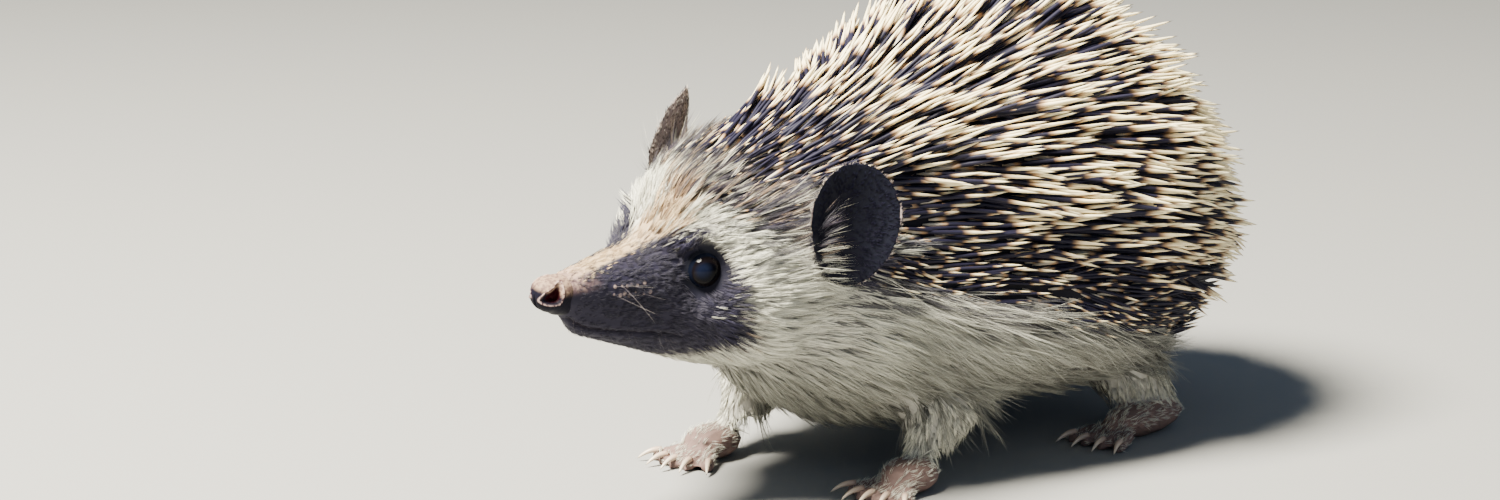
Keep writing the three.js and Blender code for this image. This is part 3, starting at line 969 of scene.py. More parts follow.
def planting_tree():
    tree = bpy.data.node_groups.new("Plant_on_roots", "GeometryNodeTree")
    for title, kind in (
        ("Geometry", "NodeSocketGeometry"),
        ("Templates", "NodeSocketCollection"),
        ("Finish", "NodeSocketMaterial"),
    ):
        tree.interface.new_socket(title, in_out="INPUT", socket_type=kind)
    tree.interface.new_socket("Geometry", in_out="OUTPUT", socket_type="NodeSocketGeometry")
    given, result = tree.nodes.new("NodeGroupInput"), tree.nodes.new("NodeGroupOutput")

    def named(name, kind):
        made = node(tree, "GeometryNodeInputNamedAttribute", data_type=kind)
        made.inputs["Name"].default_value = name
        return next(out for out in made.outputs if out.enabled)

    templates = node(tree, "GeometryNodeCollectionInfo", {"Collection": given.outputs["Templates"]})
    templates.inputs["Separate Children"].default_value = True
    templates.inputs["Reset Children"].default_value = True
    turn = tree.nodes.new("FunctionNodeAxesToRotation")
    turn.primary_axis, turn.secondary_axis = "X", "Z"
    tree.links.new(named("aim", "FLOAT_VECTOR"), turn.inputs[0])
    tree.links.new(named("up", "FLOAT_VECTOR"), turn.inputs[1])
    plant = node(
        tree,
        "GeometryNodeInstanceOnPoints",
        {
            "Points": given.outputs["Geometry"],
            "Instance": templates.outputs[0],
            "Pick Instance": True,
            "Instance Index": named("pick", "INT"),
            "Rotation": turn.outputs[0],
            "Scale": named("size", "FLOAT"),
        },
    )
    real = node(tree, "GeometryNodeRealizeInstances", {"Geometry": plant.outputs[0]})
    own_place = {0: named("patch", "FLOAT_VECTOR"), 3: PATCH}
    patch = node(tree, "ShaderNodeVectorMath", own_place, operation="SCALE")
    place = node(tree, "ShaderNodeVectorMath", {0: named("root_uv", "FLOAT_VECTOR"), 1: patch.outputs[0]})
    store = node(
        tree,
        "GeometryNodeStoreNamedAttribute",
        {"Geometry": real.outputs[0], "Name": "OFBake"},
        data_type="FLOAT2",
        domain="CORNER",
    )
    value = next(socket for socket in store.inputs if socket.name == "Value" and socket.enabled)
    tree.links.new(place.outputs[0], value)
    paint = node(tree, "GeometryNodeSetMaterial", {"Geometry": store.outputs[0]})
    tree.links.new(given.outputs["Finish"], paint.inputs["Material"])
    tree.links.new(paint.outputs[0], result.inputs[0])
    return tree


plant_tree = planting_tree()
SOCKET = {item.name: item.identifier for item in plant_tree.interface.items_tree if item.in_out == "INPUT"}
print("planting tree with inputs", list(SOCKET))

# %% [markdown]
# `plant` takes the roots as a dictionary of arrays: each root's place, its aim, which way is up, its size,
# which template it gets, its tone, its markings and its place on the unwrap. Whatever would pass through
# the floor is laid on it. The attributes that only the planting needs are dropped at the end.

# %% From roots to real mesh
ROOT_LAYERS = {
    "aim": "FLOAT_VECTOR",
    "up": "FLOAT_VECTOR",
    "size": "FLOAT",
    "pick": "INT",
    "tone": "FLOAT",
    "marks": "FLOAT_VECTOR",
    "root_uv": "FLOAT_VECTOR",
}
ONLY_FOR_PLANTING = ("aim", "up", "size", "pick", "root_uv", "patch")


def plant(name, roots, templates, finish, slot):
    cloud = bpy.data.meshes.new(name)
    cloud.from_pydata(roots["place"].tolist(), [], [])
    for key, kind in ROOT_LAYERS.items():
        put_attribute(cloud, key, kind, roots[key])
    piece = add_object(name, cloud)
    planting = piece.modifiers.new("planting", "NODES")
    planting.node_group = plant_tree
    planting[SOCKET["Templates"]] = templates
    planting[SOCKET["Finish"]] = finish
    mesh = with_modifiers_applied(piece)
    planted = points_of(mesh)
    planted[:, 2] = np.maximum(planted[:, 2], FLOOR_GAP * MM)
    set_points(mesh, planted)
    for key in ONLY_FOR_PLANTING:
        if key in mesh.attributes:
            mesh.attributes.remove(mesh.attributes[key])
    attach(piece, "root")
    triangles = sum(len(p.vertices) - 2 for p in mesh.polygons)
    print(f"{name}: {len(roots['place'])} planted, {triangles} triangles")


print("ready to plant")

# %% [markdown]
# Every template is made of strands. A strand is a few rings of vertices round a path, closed at the root
# and pointed at the tip, with three sides for a hair and six for a quill. Each vertex keeps how far along
# the strand it is, which strand it belongs to, and its place in the tiny patch of the map.

# %% Templates made of tapered strands


def strand(path, radii, sides):
    """Rings of vertices round a path, closed at the root and pointed at the tip. Lengths in mm."""
    verts, faces, along, around = [], [], [], []
    count = len(path) - 1
    for k in range(count):
        forward = unit(path[k + 1] - path[max(k - 1, 0)])
        aside = unit(np.cross((0.0, 0.0, 1.0), forward))
        above = np.cross(forward, aside)
        for n in range(sides):
            turn = 2 * math.pi * n / sides
            verts.append(path[k] + radii[k] * (math.cos(turn) * aside + math.sin(turn) * above))
            along.append(k / count)
            around.append(n / sides - 0.5)
    verts.append(path[-1])
    along.append(1.0)
    around.append(0.0)
    for k in range(count - 1):
        for n in range(sides):
            m = (n + 1) % sides
            faces.append((k * sides + n, k * sides + m, (k + 1) * sides + m, (k + 1) * sides + n))
    last = (count - 1) * sides
    faces += [(last + n, last + (n + 1) % sides, count * sides) for n in range(sides)]
    faces.append(tuple(reversed(range(sides))))
    return verts, faces, along, around


def template_mesh(name, strands):
    verts, faces, along, patch, chance = [], [], [], [], []
    for number, (own_verts, own_faces, own_along, around) in enumerate(strands):
        first = len(verts)
        verts += own_verts
        faces += [tuple(first + index for index in face) for face in own_faces]
        along += own_along
        patch += [(turn, share - 0.5, 0.0) for turn, share in zip(around, own_along)]
        chance += [number / max(len(strands) - 1, 1)] * len(own_verts)
    mesh = bpy.data.meshes.new(name)
    mesh.from_pydata((np.array(verts) * MM).tolist(), [], faces)
    put_attribute(mesh, "along", "FLOAT", along)
    put_attribute(mesh, "patch", "FLOAT_VECTOR", patch)
    put_attribute(mesh, "chance", "FLOAT", chance)
    smooth(mesh)
    return mesh


def collection_of(name, meshes):
    collection = bpy.data.collections.new(name)
    for k, mesh in enumerate(meshes):
        collection.objects.link(bpy.data.objects.new(f"{name}_{k:02d}", mesh))
    return collection


straight = np.array([[0.0, 0, 0], [1.0, 0, 0], [2.0, 0, 0]])
print("a strand of two rings and three sides has", len(strand(straight, (1, 1), 3)[1]), "faces")

# %% [markdown]
# A lock is a handful of strands that leave a small patch of skin, arch over and draw together. There are
# eight kinds of each lock, so that no pattern shows. The random draws have a fixed seed, so each run makes
# the same locks.

# %% Locks of fur
TEMPLATE_SEED = 5
HAIR_PROFILE = (0.7, 1.0, 0.75, 0.45)
LOCK_KINDS = 8
LOCK_BEND = 0.16
LOCK_GATHER = 0.5


def hair_profile(rings):
    """How thick a hair is at each ring, against its thickest."""
    return np.array(HAIR_PROFILE[:rings]) if rings <= len(HAIR_PROFILE) else np.linspace(1, 0.4, rings)


def hair_path(rng, length, spread, rings):
    share = np.linspace(0, 1, rings + 1)
    own = length * rng.uniform(0.62, 1.05)
    ahead, aside = rng.uniform(-0.25, 0.25) * spread, rng.uniform(-1, 1) * spread
    ends_aside = aside * (1 - LOCK_GATHER) + rng.normal(0, 0.35) * spread
    lift = rng.uniform(0.4, 1.3) * LOCK_BEND * own
    wave = rng.normal(0, 0.05) * own
    x = ahead + own * share
    y = aside + (ends_aside - aside) * share**1.4 + wave * share**2
    z = lift * (1.15 * share - 1.25 * share**2)
    return np.stack([x, y, z], 1)


def fur_locks(name, length, thick, strands, spread, rings):
    """A collection of locks. Lengths in mm; spread is half the width of the patch that a lock grows from."""
    rng = np.random.default_rng(TEMPLATE_SEED + len(name))
    meshes = []
    for kind in range(LOCK_KINDS):
        hairs = []
        for _ in range(strands):
            path = hair_path(rng, length, spread, rings)
            radii = 0.5 * thick * rng.uniform(0.8, 1.15) * hair_profile(rings)
            hairs.append(strand(path, radii, 3))
        meshes.append(template_mesh(f"{name}_{kind}", hairs))
    return collection_of(name, meshes)


print("a hair's profile with three rings:", hair_profile(3))

# %% [markdown]
# Roots will be scattered over the skin's triangles, so each triangle's corners, area and middle are worked
# out once. The normals are evened out a little first, because a tuft shouldn't follow every small bump.

# %% The skin's triangles
triangles = bmesh.new()
triangles.from_mesh(shell)
bmesh.ops.triangulate(triangles, faces=triangles.faces)
corner_index = np.array([[v.index for v in f.verts] for f in triangles.faces])
triangles.free()
skin_points = points_of(shell)
skin_normals = unit(average_along(edges, normals_of(shell), 3))
corners = skin_points[corner_index] / MM
first_side, second_side = corners[:, 1] - corners[:, 0], corners[:, 2] - corners[:, 0]
face_area = np.linalg.norm(np.cross(first_side, second_side), axis=1) / 2
face_middle = corners.mean(1) * MM
limb_share = {kind: get_attribute(shell, kind) for kind in LIMBS}
limb_share["lid"] = lid_ring


def limb_on_faces(kind):
    return limb_share[kind][corner_index].mean(1)


print("skin area in square mm:", round(face_area.sum()))

# %% [markdown]
# Each stretch of coat gets so many roots to each square millimetre, at random with a fixed seed. Quills
# keep their distance from each other, so of two that stand too close the second is left out. A grid of
# cells makes that quick: only roots in the same cell and its neighbours have to be compared.

# %% Roots scattered over the skin
NEIGHBOURS = list(itertools.product((-1, 0, 1), repeat=3))


def scatter(density, seed):
    """Random roots on the skin; density is tufts for each square millimetre of each face."""
    rng = np.random.default_rng(seed)
    weight = face_area * density
    count = int(round(weight.sum()))
    chosen = rng.choice(len(weight), count, p=weight / weight.sum())
    first, second = rng.random((2, count))
    over = first + second > 1
    first[over], second[over] = 1 - first[over], 1 - second[over]
    share = np.stack([1 - first - second, first, second], 1)

    def blend(values):
        return np.einsum("ij,ij...->i...", share, values[corner_index[chosen]])

    roots = {"place": blend(skin_points), "up": unit(blend(skin_normals))}
    for kind, values in limb_share.items():
        roots[kind] = blend(values)
    return roots, rng


def keep_only(roots, kept):
    return {key: values[kept] for key, values in roots.items()}


def thin_to(roots, distance_mm):
    """Leaves out roots that stand too close to one that came before."""
    cell = distance_mm * MM
    grid, kept = {}, []
    for i, place in enumerate(roots["place"]):
        home = tuple((place // cell).astype(int))
        close = False
        for step in NEIGHBOURS:
            for j in grid.get(tuple(h + s for h, s in zip(home, step)), ()):
                gap = roots["place"][j] - place
                close = close or gap @ gap < cell * cell
        if not close:
            grid.setdefault(home, []).append(i)
            kept.append(i)
    return keep_only(roots, np.array(kept))


print("triangles to scatter roots on:", len(face_area))

# %% [markdown]
# The lie of the coat comes from a direction field: everything points back from the nose, sinks towards the
# belly on the sides, parts round the eyes, runs down the legs and out along the ears. At each root the
# field is laid flat on the skin, and the next step raises it by the coat's lift.

# %% The lie of the coat
HEAD_END = (34, 56)  # distances back between which the head's direction gives way to the body's
PARTING_AT_EYE, PARTING_WIDTH = 3.0, 2.2  # the coat parts round the eyes, at this distance from their middles
DOWN_THE_LEG = (0.25, 0.0, -1.0)
EAR_ROOT = (0.25, 0.35)  # how far along and up the box of an ear its root lies
EAR_ROOT_INWARDS = 2.0


def root_of_ear(side, hand):
    low, high = (np.array(corner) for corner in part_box(f"ear_{side}"))
    x = low[0] + EAR_ROOT[0] * (high[0] - low[0])
    z = low[2] + EAR_ROOT[1] * (high[2] - low[2])
    return np.array([x, (low[1] + high[1]) / 2 - hand * EAR_ROOT_INWARDS * MM, z])


def lie_of_coat(roots, drift, fan=0.0):
    """Drift lets the coat sink towards the belly, and fan spreads it to both sides."""
    place, up = roots["place"], roots["up"]
    in_face_place = in_face(place)
    sideways = np.abs(up[:, 1])
    on_head = 1 - ramp(in_face_place[:, 0], *HEAD_END)
    way = np.tile([1.0, 0.0, 0.0], (len(place), 1))
    way = way * (1 - on_head[:, None]) + face_axes[0] * on_head[:, None]
    way[:, 1] += fan * np.sign(place[:, 1]) * sideways
    way[:, 2] -= drift * (0.25 + 0.75 * sideways) * (1 - on_head * 0.5)
    for eye in EYE.values():
        spoke = in_face_place - eye
        distance = np.linalg.norm(spoke, axis=1)
        parting = 1.1 * np.exp(-(((distance - PARTING_AT_EYE) / PARTING_WIDTH) ** 2))
        way += (unit(spoke) @ face_axes) * parting[:, None]
    on_leg = roots["leg"][:, None]
    way = way * (1 - on_leg) + np.array(DOWN_THE_LEG) * on_leg
    for side, hand in SIDES.items():
        outward = unit(place - root_of_ear(side, hand))
        on_ear = (roots["ear"] * (np.sign(place[:, 1]) == hand))[:, None]
        way = way * (1 - on_ear) + outward * on_ear
    way -= up * np.einsum("ij,ij->i", way, up)[:, None]
    return unit(way)


sample = {
    "place": from_face([[20.0, 0.0, 9.0]]),
    "up": np.array([[0.0, 0.0, 1.0]]),
    "leg": np.zeros(1),
    "ear": np.zeros(1),
}
print("between the eyes the coat lies along", lie_of_coat(sample, 0.3).round(2))

# %% [markdown]
# No two tufts lie quite alike, but neighbours lean the same way. So each tuft turns a little by chance,
# and a little by a smooth noise that changes slowly over the body. That noise has a seed too, or it would
# follow the clock. In longer hair the tips also draw together into bunches: a few tufts lead, and the rest
# lean to them.

# %% Leaning together and bunching
CLUMP_SEED = 3

noise.seed_set(CLUMP_SEED)


def clumps(places, size_mm):
    """Two smooth random numbers for each place, alike for neighbours."""
    return np.array([noise.noise_vector(Vector(p) / (size_mm * MM))[:2] for p in places])


def point_along(roots, rng, drift, lift, shake, fan=0.0, clump=(10.0, 5.0, 6.0)):
    """Sets where each tuft points. Angles are in degrees; clump is its size in mm, its yaw and its lift."""
    way = lie_of_coat(roots, drift, fan)
    aside = np.cross(roots["up"], way)
    together = clumps(roots["place"], clump[0])
    yaw = np.radians(rng.normal(0, 1, len(way)) * shake + clump[1] * together[:, 0])[:, None]
    rise = lift + rng.normal(0, 0.4, len(way)) * shake + clump[2] * together[:, 1]
    rise = np.radians(rise)[:, None]
    way = way * np.cos(yaw) + aside * np.sin(yaw)
    roots["aim"] = unit(way * np.cos(rise) + roots["up"] * np.sin(rise))


def draw_together(roots, reach_mm, apart_mm, share):
    """Leans each tip towards the tip of the nearest leader, so that the coat parts into small bunches."""
    leaders = thin_to(roots, apart_mm)
    leader_tips = leaders["place"] + leaders["aim"] * reach_mm * MM
    nearest_leader = KDTree(len(leader_tips))
    for i, place in enumerate(leaders["place"]):
        nearest_leader.insert(place, i)
    nearest_leader.balance()
    own = np.array([nearest_leader.find(place)[1] for place in roots["place"]])
    tips = roots["place"] + roots["aim"] * reach_mm * MM
    tips += share * (leader_tips[own] - tips)
    roots["aim"] = unit(tips - roots["place"])


print("noise at the nose:", clumps(nose_middle[None], 10.0).round(3))

# %% [markdown]
# For the export's textures each root also needs a place on a flat map of the animal. The body is unrolled
# round its long axis into the lower part of the map. Ears, legs, feet and tail get strips of their own
# above it.

# %% Where each root lies on an unwrap of the animal
LIMB_COLUMNS = {"ear": 0, "leg": 1, "foot": 2, "tail": 3}


def unwrap(roots):
    x, y, z = (roots["place"] / MM).T
    low, high = np.array(cad_box[0]) / MM, np.array(cad_box[1]) / MM
    along_body = (x - low[0]) / (high[0] - low[0])
    turn = np.arctan2(y, z - (low[2] + high[2]) * 0.45) / (2 * math.pi) + 0.5
    u, v = 0.02 + 0.96 * along_body, 0.02 + 0.70 * turn
    for kind, column in LIMB_COLUMNS.items():
        own = roots[kind] > 0.5
        across = ((y / high[1] + 1) / 2 + 4 * along_body) % 1.0
        u = np.where(own, 0.02 + 0.245 * column + 0.22 * across, u)
        v = np.where(own, 0.76 + 0.22 * z / high[2], v)
    return np.stack([u, v, np.zeros(len(u))], 1)


print("the limbs have strips", list(LIMB_COLUMNS))

# %% [markdown]
# The last things that a root needs are its size, its template, its tone and its markings. A lock takes the
# markings from where its tip lies, as that is the part that shows. Where two markings meet, real coats mix
# whole dark and pale hairs rather than grey ones, so each lock leans towards one or the other by chance.

# %% Size, kind and markings of each root
MIXED_COAT = 0.7  # where markings meet: 1 gives whole dark and pale locks side by side, 0 an even blend
MARKS_SHAKE = 0.8  # in mm, so that the edge of a marking is ragged
VISIBLE_PART = 0.7  # how far along a lock its markings are taken


def finish_roots(roots, rng, kinds, length, size=(0.8, 1.15), mixed=MIXED_COAT):
    count = len(roots["place"])
    roots["size"] = rng.uniform(*size, count) * roots.pop("grow", np.ones(count))
    roots["pick"] = rng.integers(0, kinds, count)
    roots["tone"] = rng.random(count)
    shaken = roots["place"] + rng.normal(0, MARKS_SHAKE * MM, (count, 3))
    shaken += roots["aim"] * (VISIBLE_PART * length * MM * roots["size"])[:, None]
    share = marks_at(shaken)
    picked = share > rng.random(share.shape)
    roots["marks"] = share + mixed * (picked - share)
    roots["root_uv"] = unwrap(roots)
    return roots


print("markings are taken", VISIBLE_PART, "of the way along each lock")

# %% [markdown]
# ## The quills
# A quill is a stiff hollow hair of keratin, about a millimetre thick, that narrows to a neck at its root
# and runs out to a long point. Each is pale at the root, dark in the middle and cream towards the tip,
# with tan where the dark begins and ends. They are longest on the back and shorter over the forehead and
# along the hem.

# %% Quill templates and their banded finish
QUILL_LENGTH = 17.0
QUILL_THICK = 0.9
QUILL_SIDES = 6
# Where the rings are, and how thick the quill is there against its thickest
QUILL_PROFILE = ((0, 0.08, 0.32, 0.58, 0.77, 0.91), (0.35, 0.75, 1.0, 0.93, 0.68, 0.36))
QUILL_BENDS = (-0.024, 0.0, 0.03, 0.06)
QUILL_ROOT, QUILL_TAN, QUILL_DARK = rgb(0.50, 0.44, 0.36), rgb(0.42, 0.26, 0.14), rgb(0.009, 0.008, 0.020)
QUILL_CREAM, QUILL_YELLOWER = rgb(0.95, 0.86, 0.56), rgb(0.86, 0.72, 0.44)
QUILL_TIP = rgb(0.50, 0.36, 0.25)


def quill_templates():
    meshes = []
    for bend in QUILL_BENDS:
        share = np.array([*QUILL_PROFILE[0], 1.0])
        path = np.stack([share * QUILL_LENGTH, 0 * share, -bend * QUILL_LENGTH * share**2], 1)
        radii = QUILL_THICK / 2 * np.array(QUILL_PROFILE[1])
        verts, faces, _, around = strand(path, radii, QUILL_SIDES)
        along = np.append(np.repeat(share[:-1], QUILL_SIDES), 1.0)
        meshes.append(template_mesh(f"quill_{len(meshes)}", [(verts, faces, along.tolist(), around)]))
    return collection_of("quills", meshes)


quill_finish, tree, shader = material("Banded_quill", 0.5, 0.18)
along = factor(tree, "along")
tone = factor(tree, "tone")
shift = maths(tree, "MULTIPLY_ADD", tone, 0.20, -0.10)
band_place = maths(tree, "ADD", along, shift)
darker = parts_of(tree, marks_of(tree))[0]
tip_place = maths(tree, "MULTIPLY_ADD", darker, -0.18, band_place)
cream = mix(tree, tone, QUILL_CREAM, QUILL_YELLOWER)
colour = mix(tree, between(tree, band_place, 0.14, 0.22), QUILL_ROOT, QUILL_TAN)
colour = mix(tree, between(tree, band_place, 0.20, 0.28), colour, QUILL_DARK)
colour = mix(tree, between(tree, tip_place, 0.60, 0.70), colour, QUILL_TAN)
colour = mix(tree, between(tree, tip_place, 0.65, 0.76), colour, cream)
colour = mix(tree, between(tree, along, 0.90, 1.0), colour, QUILL_TIP)
tree.links.new(colour, shader.inputs["Base Color"])
quills_kit = quill_templates()

# %% [markdown]
# Quills stand at least 1.3 mm apart, a little closer on the crown, and leave the ears and the tail free. They
# lie flatter at the hem and rise towards the middle of the back, and they cross in loose bunches. On the
# crown less of each quill is cream. Low on the sides less is cream as painted shade, and high on the back
# more as painted light. The coat goes to the export in pieces of fewer than 200,000 triangles, so the quills
# are cut into three lots from front to back.

# %% Planting the quills in three pieces
QUILL_PIECES = 3
QUILL_SEED = 11
QUILL_DENSITY, MORE_IN_FRONT = 1.3, 0.6  # tried roots for each square mm, before they are thinned
QUILL_SPACING, CROWN_SPACING = 1.36, 0.96  # in mm, and the crown's share of it
CROWN_END = 52
QUILL_FREE_ROUND_EAR = 2.2
QUILL_LIFT, LIFT_ON_BACK = 11, 15  # in degrees, at the hem and how much more on the back
QUILL_SIZES = ((24, 32, 45, 70), (0.50, 0.72, 0.86, 1.0))  # distance back: share of the full length
SHADE_AND_LIGHT_BY_HEIGHT = ((28, 40, 54, 68), (0.9, 0.35, -0.1, -1.2))  # height: less cream at the tips as painted shade, or more as painted light
DARKER_CROWN = 0.9


def clear_of_ears(points):
    """Millimetres from each point to the nearest ear."""
    ears = [solid_trees[name] for name in ("ear_left", "ear_right")]
    return np.array([min(ear.find_nearest(Vector(p))[3] for ear in ears) for p in points]) / MM


def quill_size(points):
    inside = ramp(quill_margin(points), 0, 16)
    return np.interp(in_face(points)[:, 0], *QUILL_SIZES) * (0.60 + 0.40 * inside)


middle_margin = quill_margin(face_middle)
front = 1 - ramp(in_face(face_middle)[:, 0], 40, 62)
quilled = (middle_margin > 0) * (1 - limb_on_faces("ear")) * (limb_on_faces("tail") < 0.3)
roots, rng = scatter(quilled * (QUILL_DENSITY + MORE_IN_FRONT * front), QUILL_SEED)
roots = keep_only(roots, quill_margin(roots["place"]) > rng.uniform(-0.6, 1.2, len(roots["place"])))
roots = keep_only(roots, clear_of_ears(roots["place"]) > QUILL_FREE_ROUND_EAR)
crown = in_face(roots["place"])[:, 0] < CROWN_END
near_front = thin_to(keep_only(roots, crown), QUILL_SPACING * CROWN_SPACING)
behind = thin_to(keep_only(roots, ~crown), QUILL_SPACING)
roots = {key: np.concatenate([near_front[key], behind[key]]) for key in roots}
lift = QUILL_LIFT + LIFT_ON_BACK * ramp(quill_margin(roots["place"]), 0, 22)
point_along(roots, rng, drift=0.22, lift=lift, shake=6.0, fan=0.40, clump=(8.0, 20.0, 10.0))
draw_together(roots, reach_mm=13.0, apart_mm=4.4, share=0.36)
roots["grow"] = quill_size(roots["place"])
roots = finish_roots(roots, rng, kinds=len(QUILL_BENDS), length=QUILL_LENGTH, size=(0.82, 1.08))
on_crown = 1 - ramp(in_face(roots["place"])[:, 0], 36, 54)
# Painted shade and light: low on the sides the tips get less cream, high on the back more
painted_by_height = np.interp(roots["place"][:, 2] / MM, *SHADE_AND_LIGHT_BY_HEIGHT)
by_chance = rng.normal(0, 0.15, len(on_crown))
roots["marks"][:, 0] = np.maximum(DARKER_CROWN * on_crown, painted_by_height) + by_chance
order = np.argsort(roots["place"][:, 0])
for k, chosen in enumerate(np.array_split(order, QUILL_PIECES)):
    plant(f"quills_{k + 1}", keep_only(roots, chosen), quills_kit, quill_finish, "quills")

# %% [markdown]
# ## The fur
# Fur grows in small locks, each a few hairs that lean together. All soft hair shares one finish, which takes
# its colour from the shared group and has a weak sheen, as fine hair has.

# %% The finish of all soft hair
fur_finish, tree, shader = material("Soft_coat", 0.5, 0.14)
shader.inputs["Sheen Weight"].default_value = 0.06
shader.inputs["Sheen Roughness"].default_value = 0.4
# The tone carries each lock's own lightness, and also the painted shade low on the body
half_tone = maths(tree, "MULTIPLY", factor(tree, "tone"), 0.5)
chance = maths(tree, "MULTIPLY_ADD", factor(tree, "chance"), 0.5, half_tone)
hair = use_group(tree, coat_colour, Marks=marks_of(tree), Along=factor(tree, "along"), Chance=chance)
tree.links.new(hair.outputs[0], shader.inputs["Base Color"])

print("finished", fur_finish.name)

# %% [markdown]
# The ears have a velvet of their own, nearly black in the hollow and brown outside. It is so short and so
# dark that two colours and a little chance are enough.

# %% The finish of the ears' velvet
VELVET_ROOT = rgb(0.012, 0.010, 0.018)
HOLLOW_DARK, HOLLOW_LIGHT = rgb(0.003, 0.004, 0.011), rgb(0.008, 0.009, 0.022)
OUTSIDE_DARK, OUTSIDE_LIGHT = rgb(0.30, 0.24, 0.22), rgb(0.62, 0.54, 0.47)

velvet_finish, tree, shader = material("Ear_velvet", 0.8, 0.02)
tone = factor(tree, "tone")
hollow = mix(tree, tone, HOLLOW_DARK, HOLLOW_LIGHT)
outside = mix(tree, tone, OUTSIDE_DARK, OUTSIDE_LIGHT)
outer_side = parts_of(tree, marks_of(tree))[1]
shade = mix(tree, outer_side, hollow, outside)
colour = mix(tree, factor(tree, "along"), VELVET_ROOT, shade)
tree.links.new(colour, shader.inputs["Base Color"])
print("finished", velvet_finish.name)

# %% [markdown]
# Each stretch of the animal has fur of its own, so the next step is a map of where each kind grows, from 0
# to 1 on every face of the skin. Ears, feet and lids are bare of long fur. The forehead's fur runs in
# among the first quills, so that no edge shows there, and a tuft over each eye stands up as the brow.

# %% Where each kind of fur grows
places = in_face(face_middle)
back, side, up = places.T
face_normals = unit(skin_normals[corner_index].mean(1))
limbs = np.clip(limb_on_faces("ear") + limb_on_faces("foot") + limb_on_faces("leg"), 0, 1)
bare = np.clip(limbs + ramp(limb_on_faces("lid"), 0.3, 0.8), 0, 1)
open_skin = (1 - bare) * np.maximum(1 - ramp(middle_margin, 0.0, 3.0), limb_on_faces("tail"))
among_quills = (1 - bare) * (1 - ramp(middle_margin, 2.0, 9.0))
angle = angle_round_muzzle(places)
mouth_on_faces = get_attribute(shell, "mouth")[corner_index].mean(1)
forehead = among_quills * ramp(back, 17, 20) * (angle > np.interp(back, *BAND_TOP) - 16) * (back < 56)
below_forehead = open_skin * (forehead < 0.5)
muzzle = below_forehead * ramp(back, 1.5, 4.0) * (1 - ramp(back, 26, 29)) * (1 - mouth_on_faces)
cheeks = below_forehead * ramp(back, 21, 26) * (back < 52)
cheeks = cheeks * (1 + 0.8 * (1 - ramp(back, 28, 35)))
before_ears = open_skin * ramp(back, 30, 34) * (back < 39.5) * ramp(up, -12, -6) * (np.abs(side) > 10)
body = open_skin * (back >= 50)
brows = np.zeros(len(places))
for side_name, hand in SIDES.items():
    spoke = places - EYE[side_name]
    distance = np.linalg.norm(spoke, axis=1)
    inwards = unit(spoke) @ np.array([0.1, -0.75 * hand, 0.65])
    brows += (inwards > 0.55) * (distance > 3.7) * (distance < 6.6)
belly = ramp(-face_normals[:, 2], 0.35, 0.75)
flanks = body * (1 - belly)
left, right = face_middle[:, 1] < 0, face_middle[:, 1] >= 0
legs = limb_on_faces("leg") * (limb_on_faces("foot") < 0.5)
ears = limb_on_faces("ear")
feet_tops = limb_on_faces("foot") * ramp(face_normals[:, 2], -0.35, 0.25)
areas = {"muzzle": muzzle, "forehead": forehead, "cheeks": cheeks, "before ears": before_ears, "body": body}
print("square mm of", {name: int((face_area * part).sum()) for name, part in areas.items()})

# %% [markdown]
# Now the stretches themselves: a velvet on the muzzle, silk on the cheeks, long thin hair over a darker
# coat on the flanks, partly darker underfur and partly painted shade, thick pale fur on the belly, and short
# hair on the legs and the tops of the feet. In the table, density is locks for each square millimetre,
# lengths are in millimetres and angles in degrees. Each stretch is one planting with its own templates and
# its own seed.

# %% What the fur of each stretch is like
FUR_COLUMNS = ("where", "density", "length", "thick", "strands", "rings", "lift", "shake", "drift")
STRETCHES = {
    "fur_muzzle": (muzzle, 2.9, 1.9, 0.06, 5, 2, 8, 8, 0.25),
    "fur_brows": (brows, 4.5, 3.6, 0.07, 5, 3, 50, 10, 0.0),
    "fur_forehead": (forehead, 2.2, 6.5, 0.10, 6, 3, 17, 8, 0.05),
    "fur_cheek_left": (cheeks * left, 1.10, 7.0, 0.10, 8, 3, 9, 7, 0.40),
    "fur_cheek_right": (cheeks * right, 0.86, 7.0, 0.11, 8, 3, 9, 7, 0.40),
    "fur_before_ears": (before_ears, 2.4, 9.0, 0.045, 3, 4, 25, 8, 0.05),
    "fur_flank_left": (flanks * left, 0.80, 10.0, 0.11, 8, 3, 9, 8, 0.50),
    "fur_flank_right": (flanks * right, 0.80, 10.0, 0.11, 8, 3, 9, 8, 0.50),
    "long_hair": (flanks, 0.80, 13.0, 0.07, 3, 5, 12, 12, 0.40),
    "fur_belly": (body * belly, 0.22, 9.0, 0.15, 6, 3, 9, 11, 0.20),
    "fur_legs": (legs, 1.5, 3.4, 0.11, 5, 2, 11, 9, 0.50),
    "fur_feet": (feet_tops, 1.3, 1.7, 0.06, 3, 2, 14, 16, 0.0),
    "ear_fuzz": (ears, 4.7, 0.9, 0.045, 3, 2, 12, 14, 0.0),
}
# How much each stretch grows with the distance back from the nose, in mm
GROWTH = {
    "fur_muzzle": ((2, 10, 20, 28), (0.40, 0.7, 0.95, 1.6)),
    "fur_forehead": ((17, 24, 34, 44), (0.40, 0.8, 1.2, 1.5)),
    "fur_cheek": ((21, 26, 32, 50), (0.35, 0.6, 0.95, 1.35)),
}
# From the darkest lock to the lightest; under the long hair the flanks are darker, partly as underfur and
# partly as painted shade, and the belly is painted darker as shade
LOCK_TONES_AND_SHADE = {
    "fur_cheek_left": (0.2, 1.2),
    "fur_cheek_right": (0.2, 1.2),
    "fur_flank_left": (-0.9, 0.3),
    "fur_flank_right": (-0.9, 0.3),
    "fur_belly": (-0.9, 0.1),
    "long_hair": (0.5, 1.0),
}
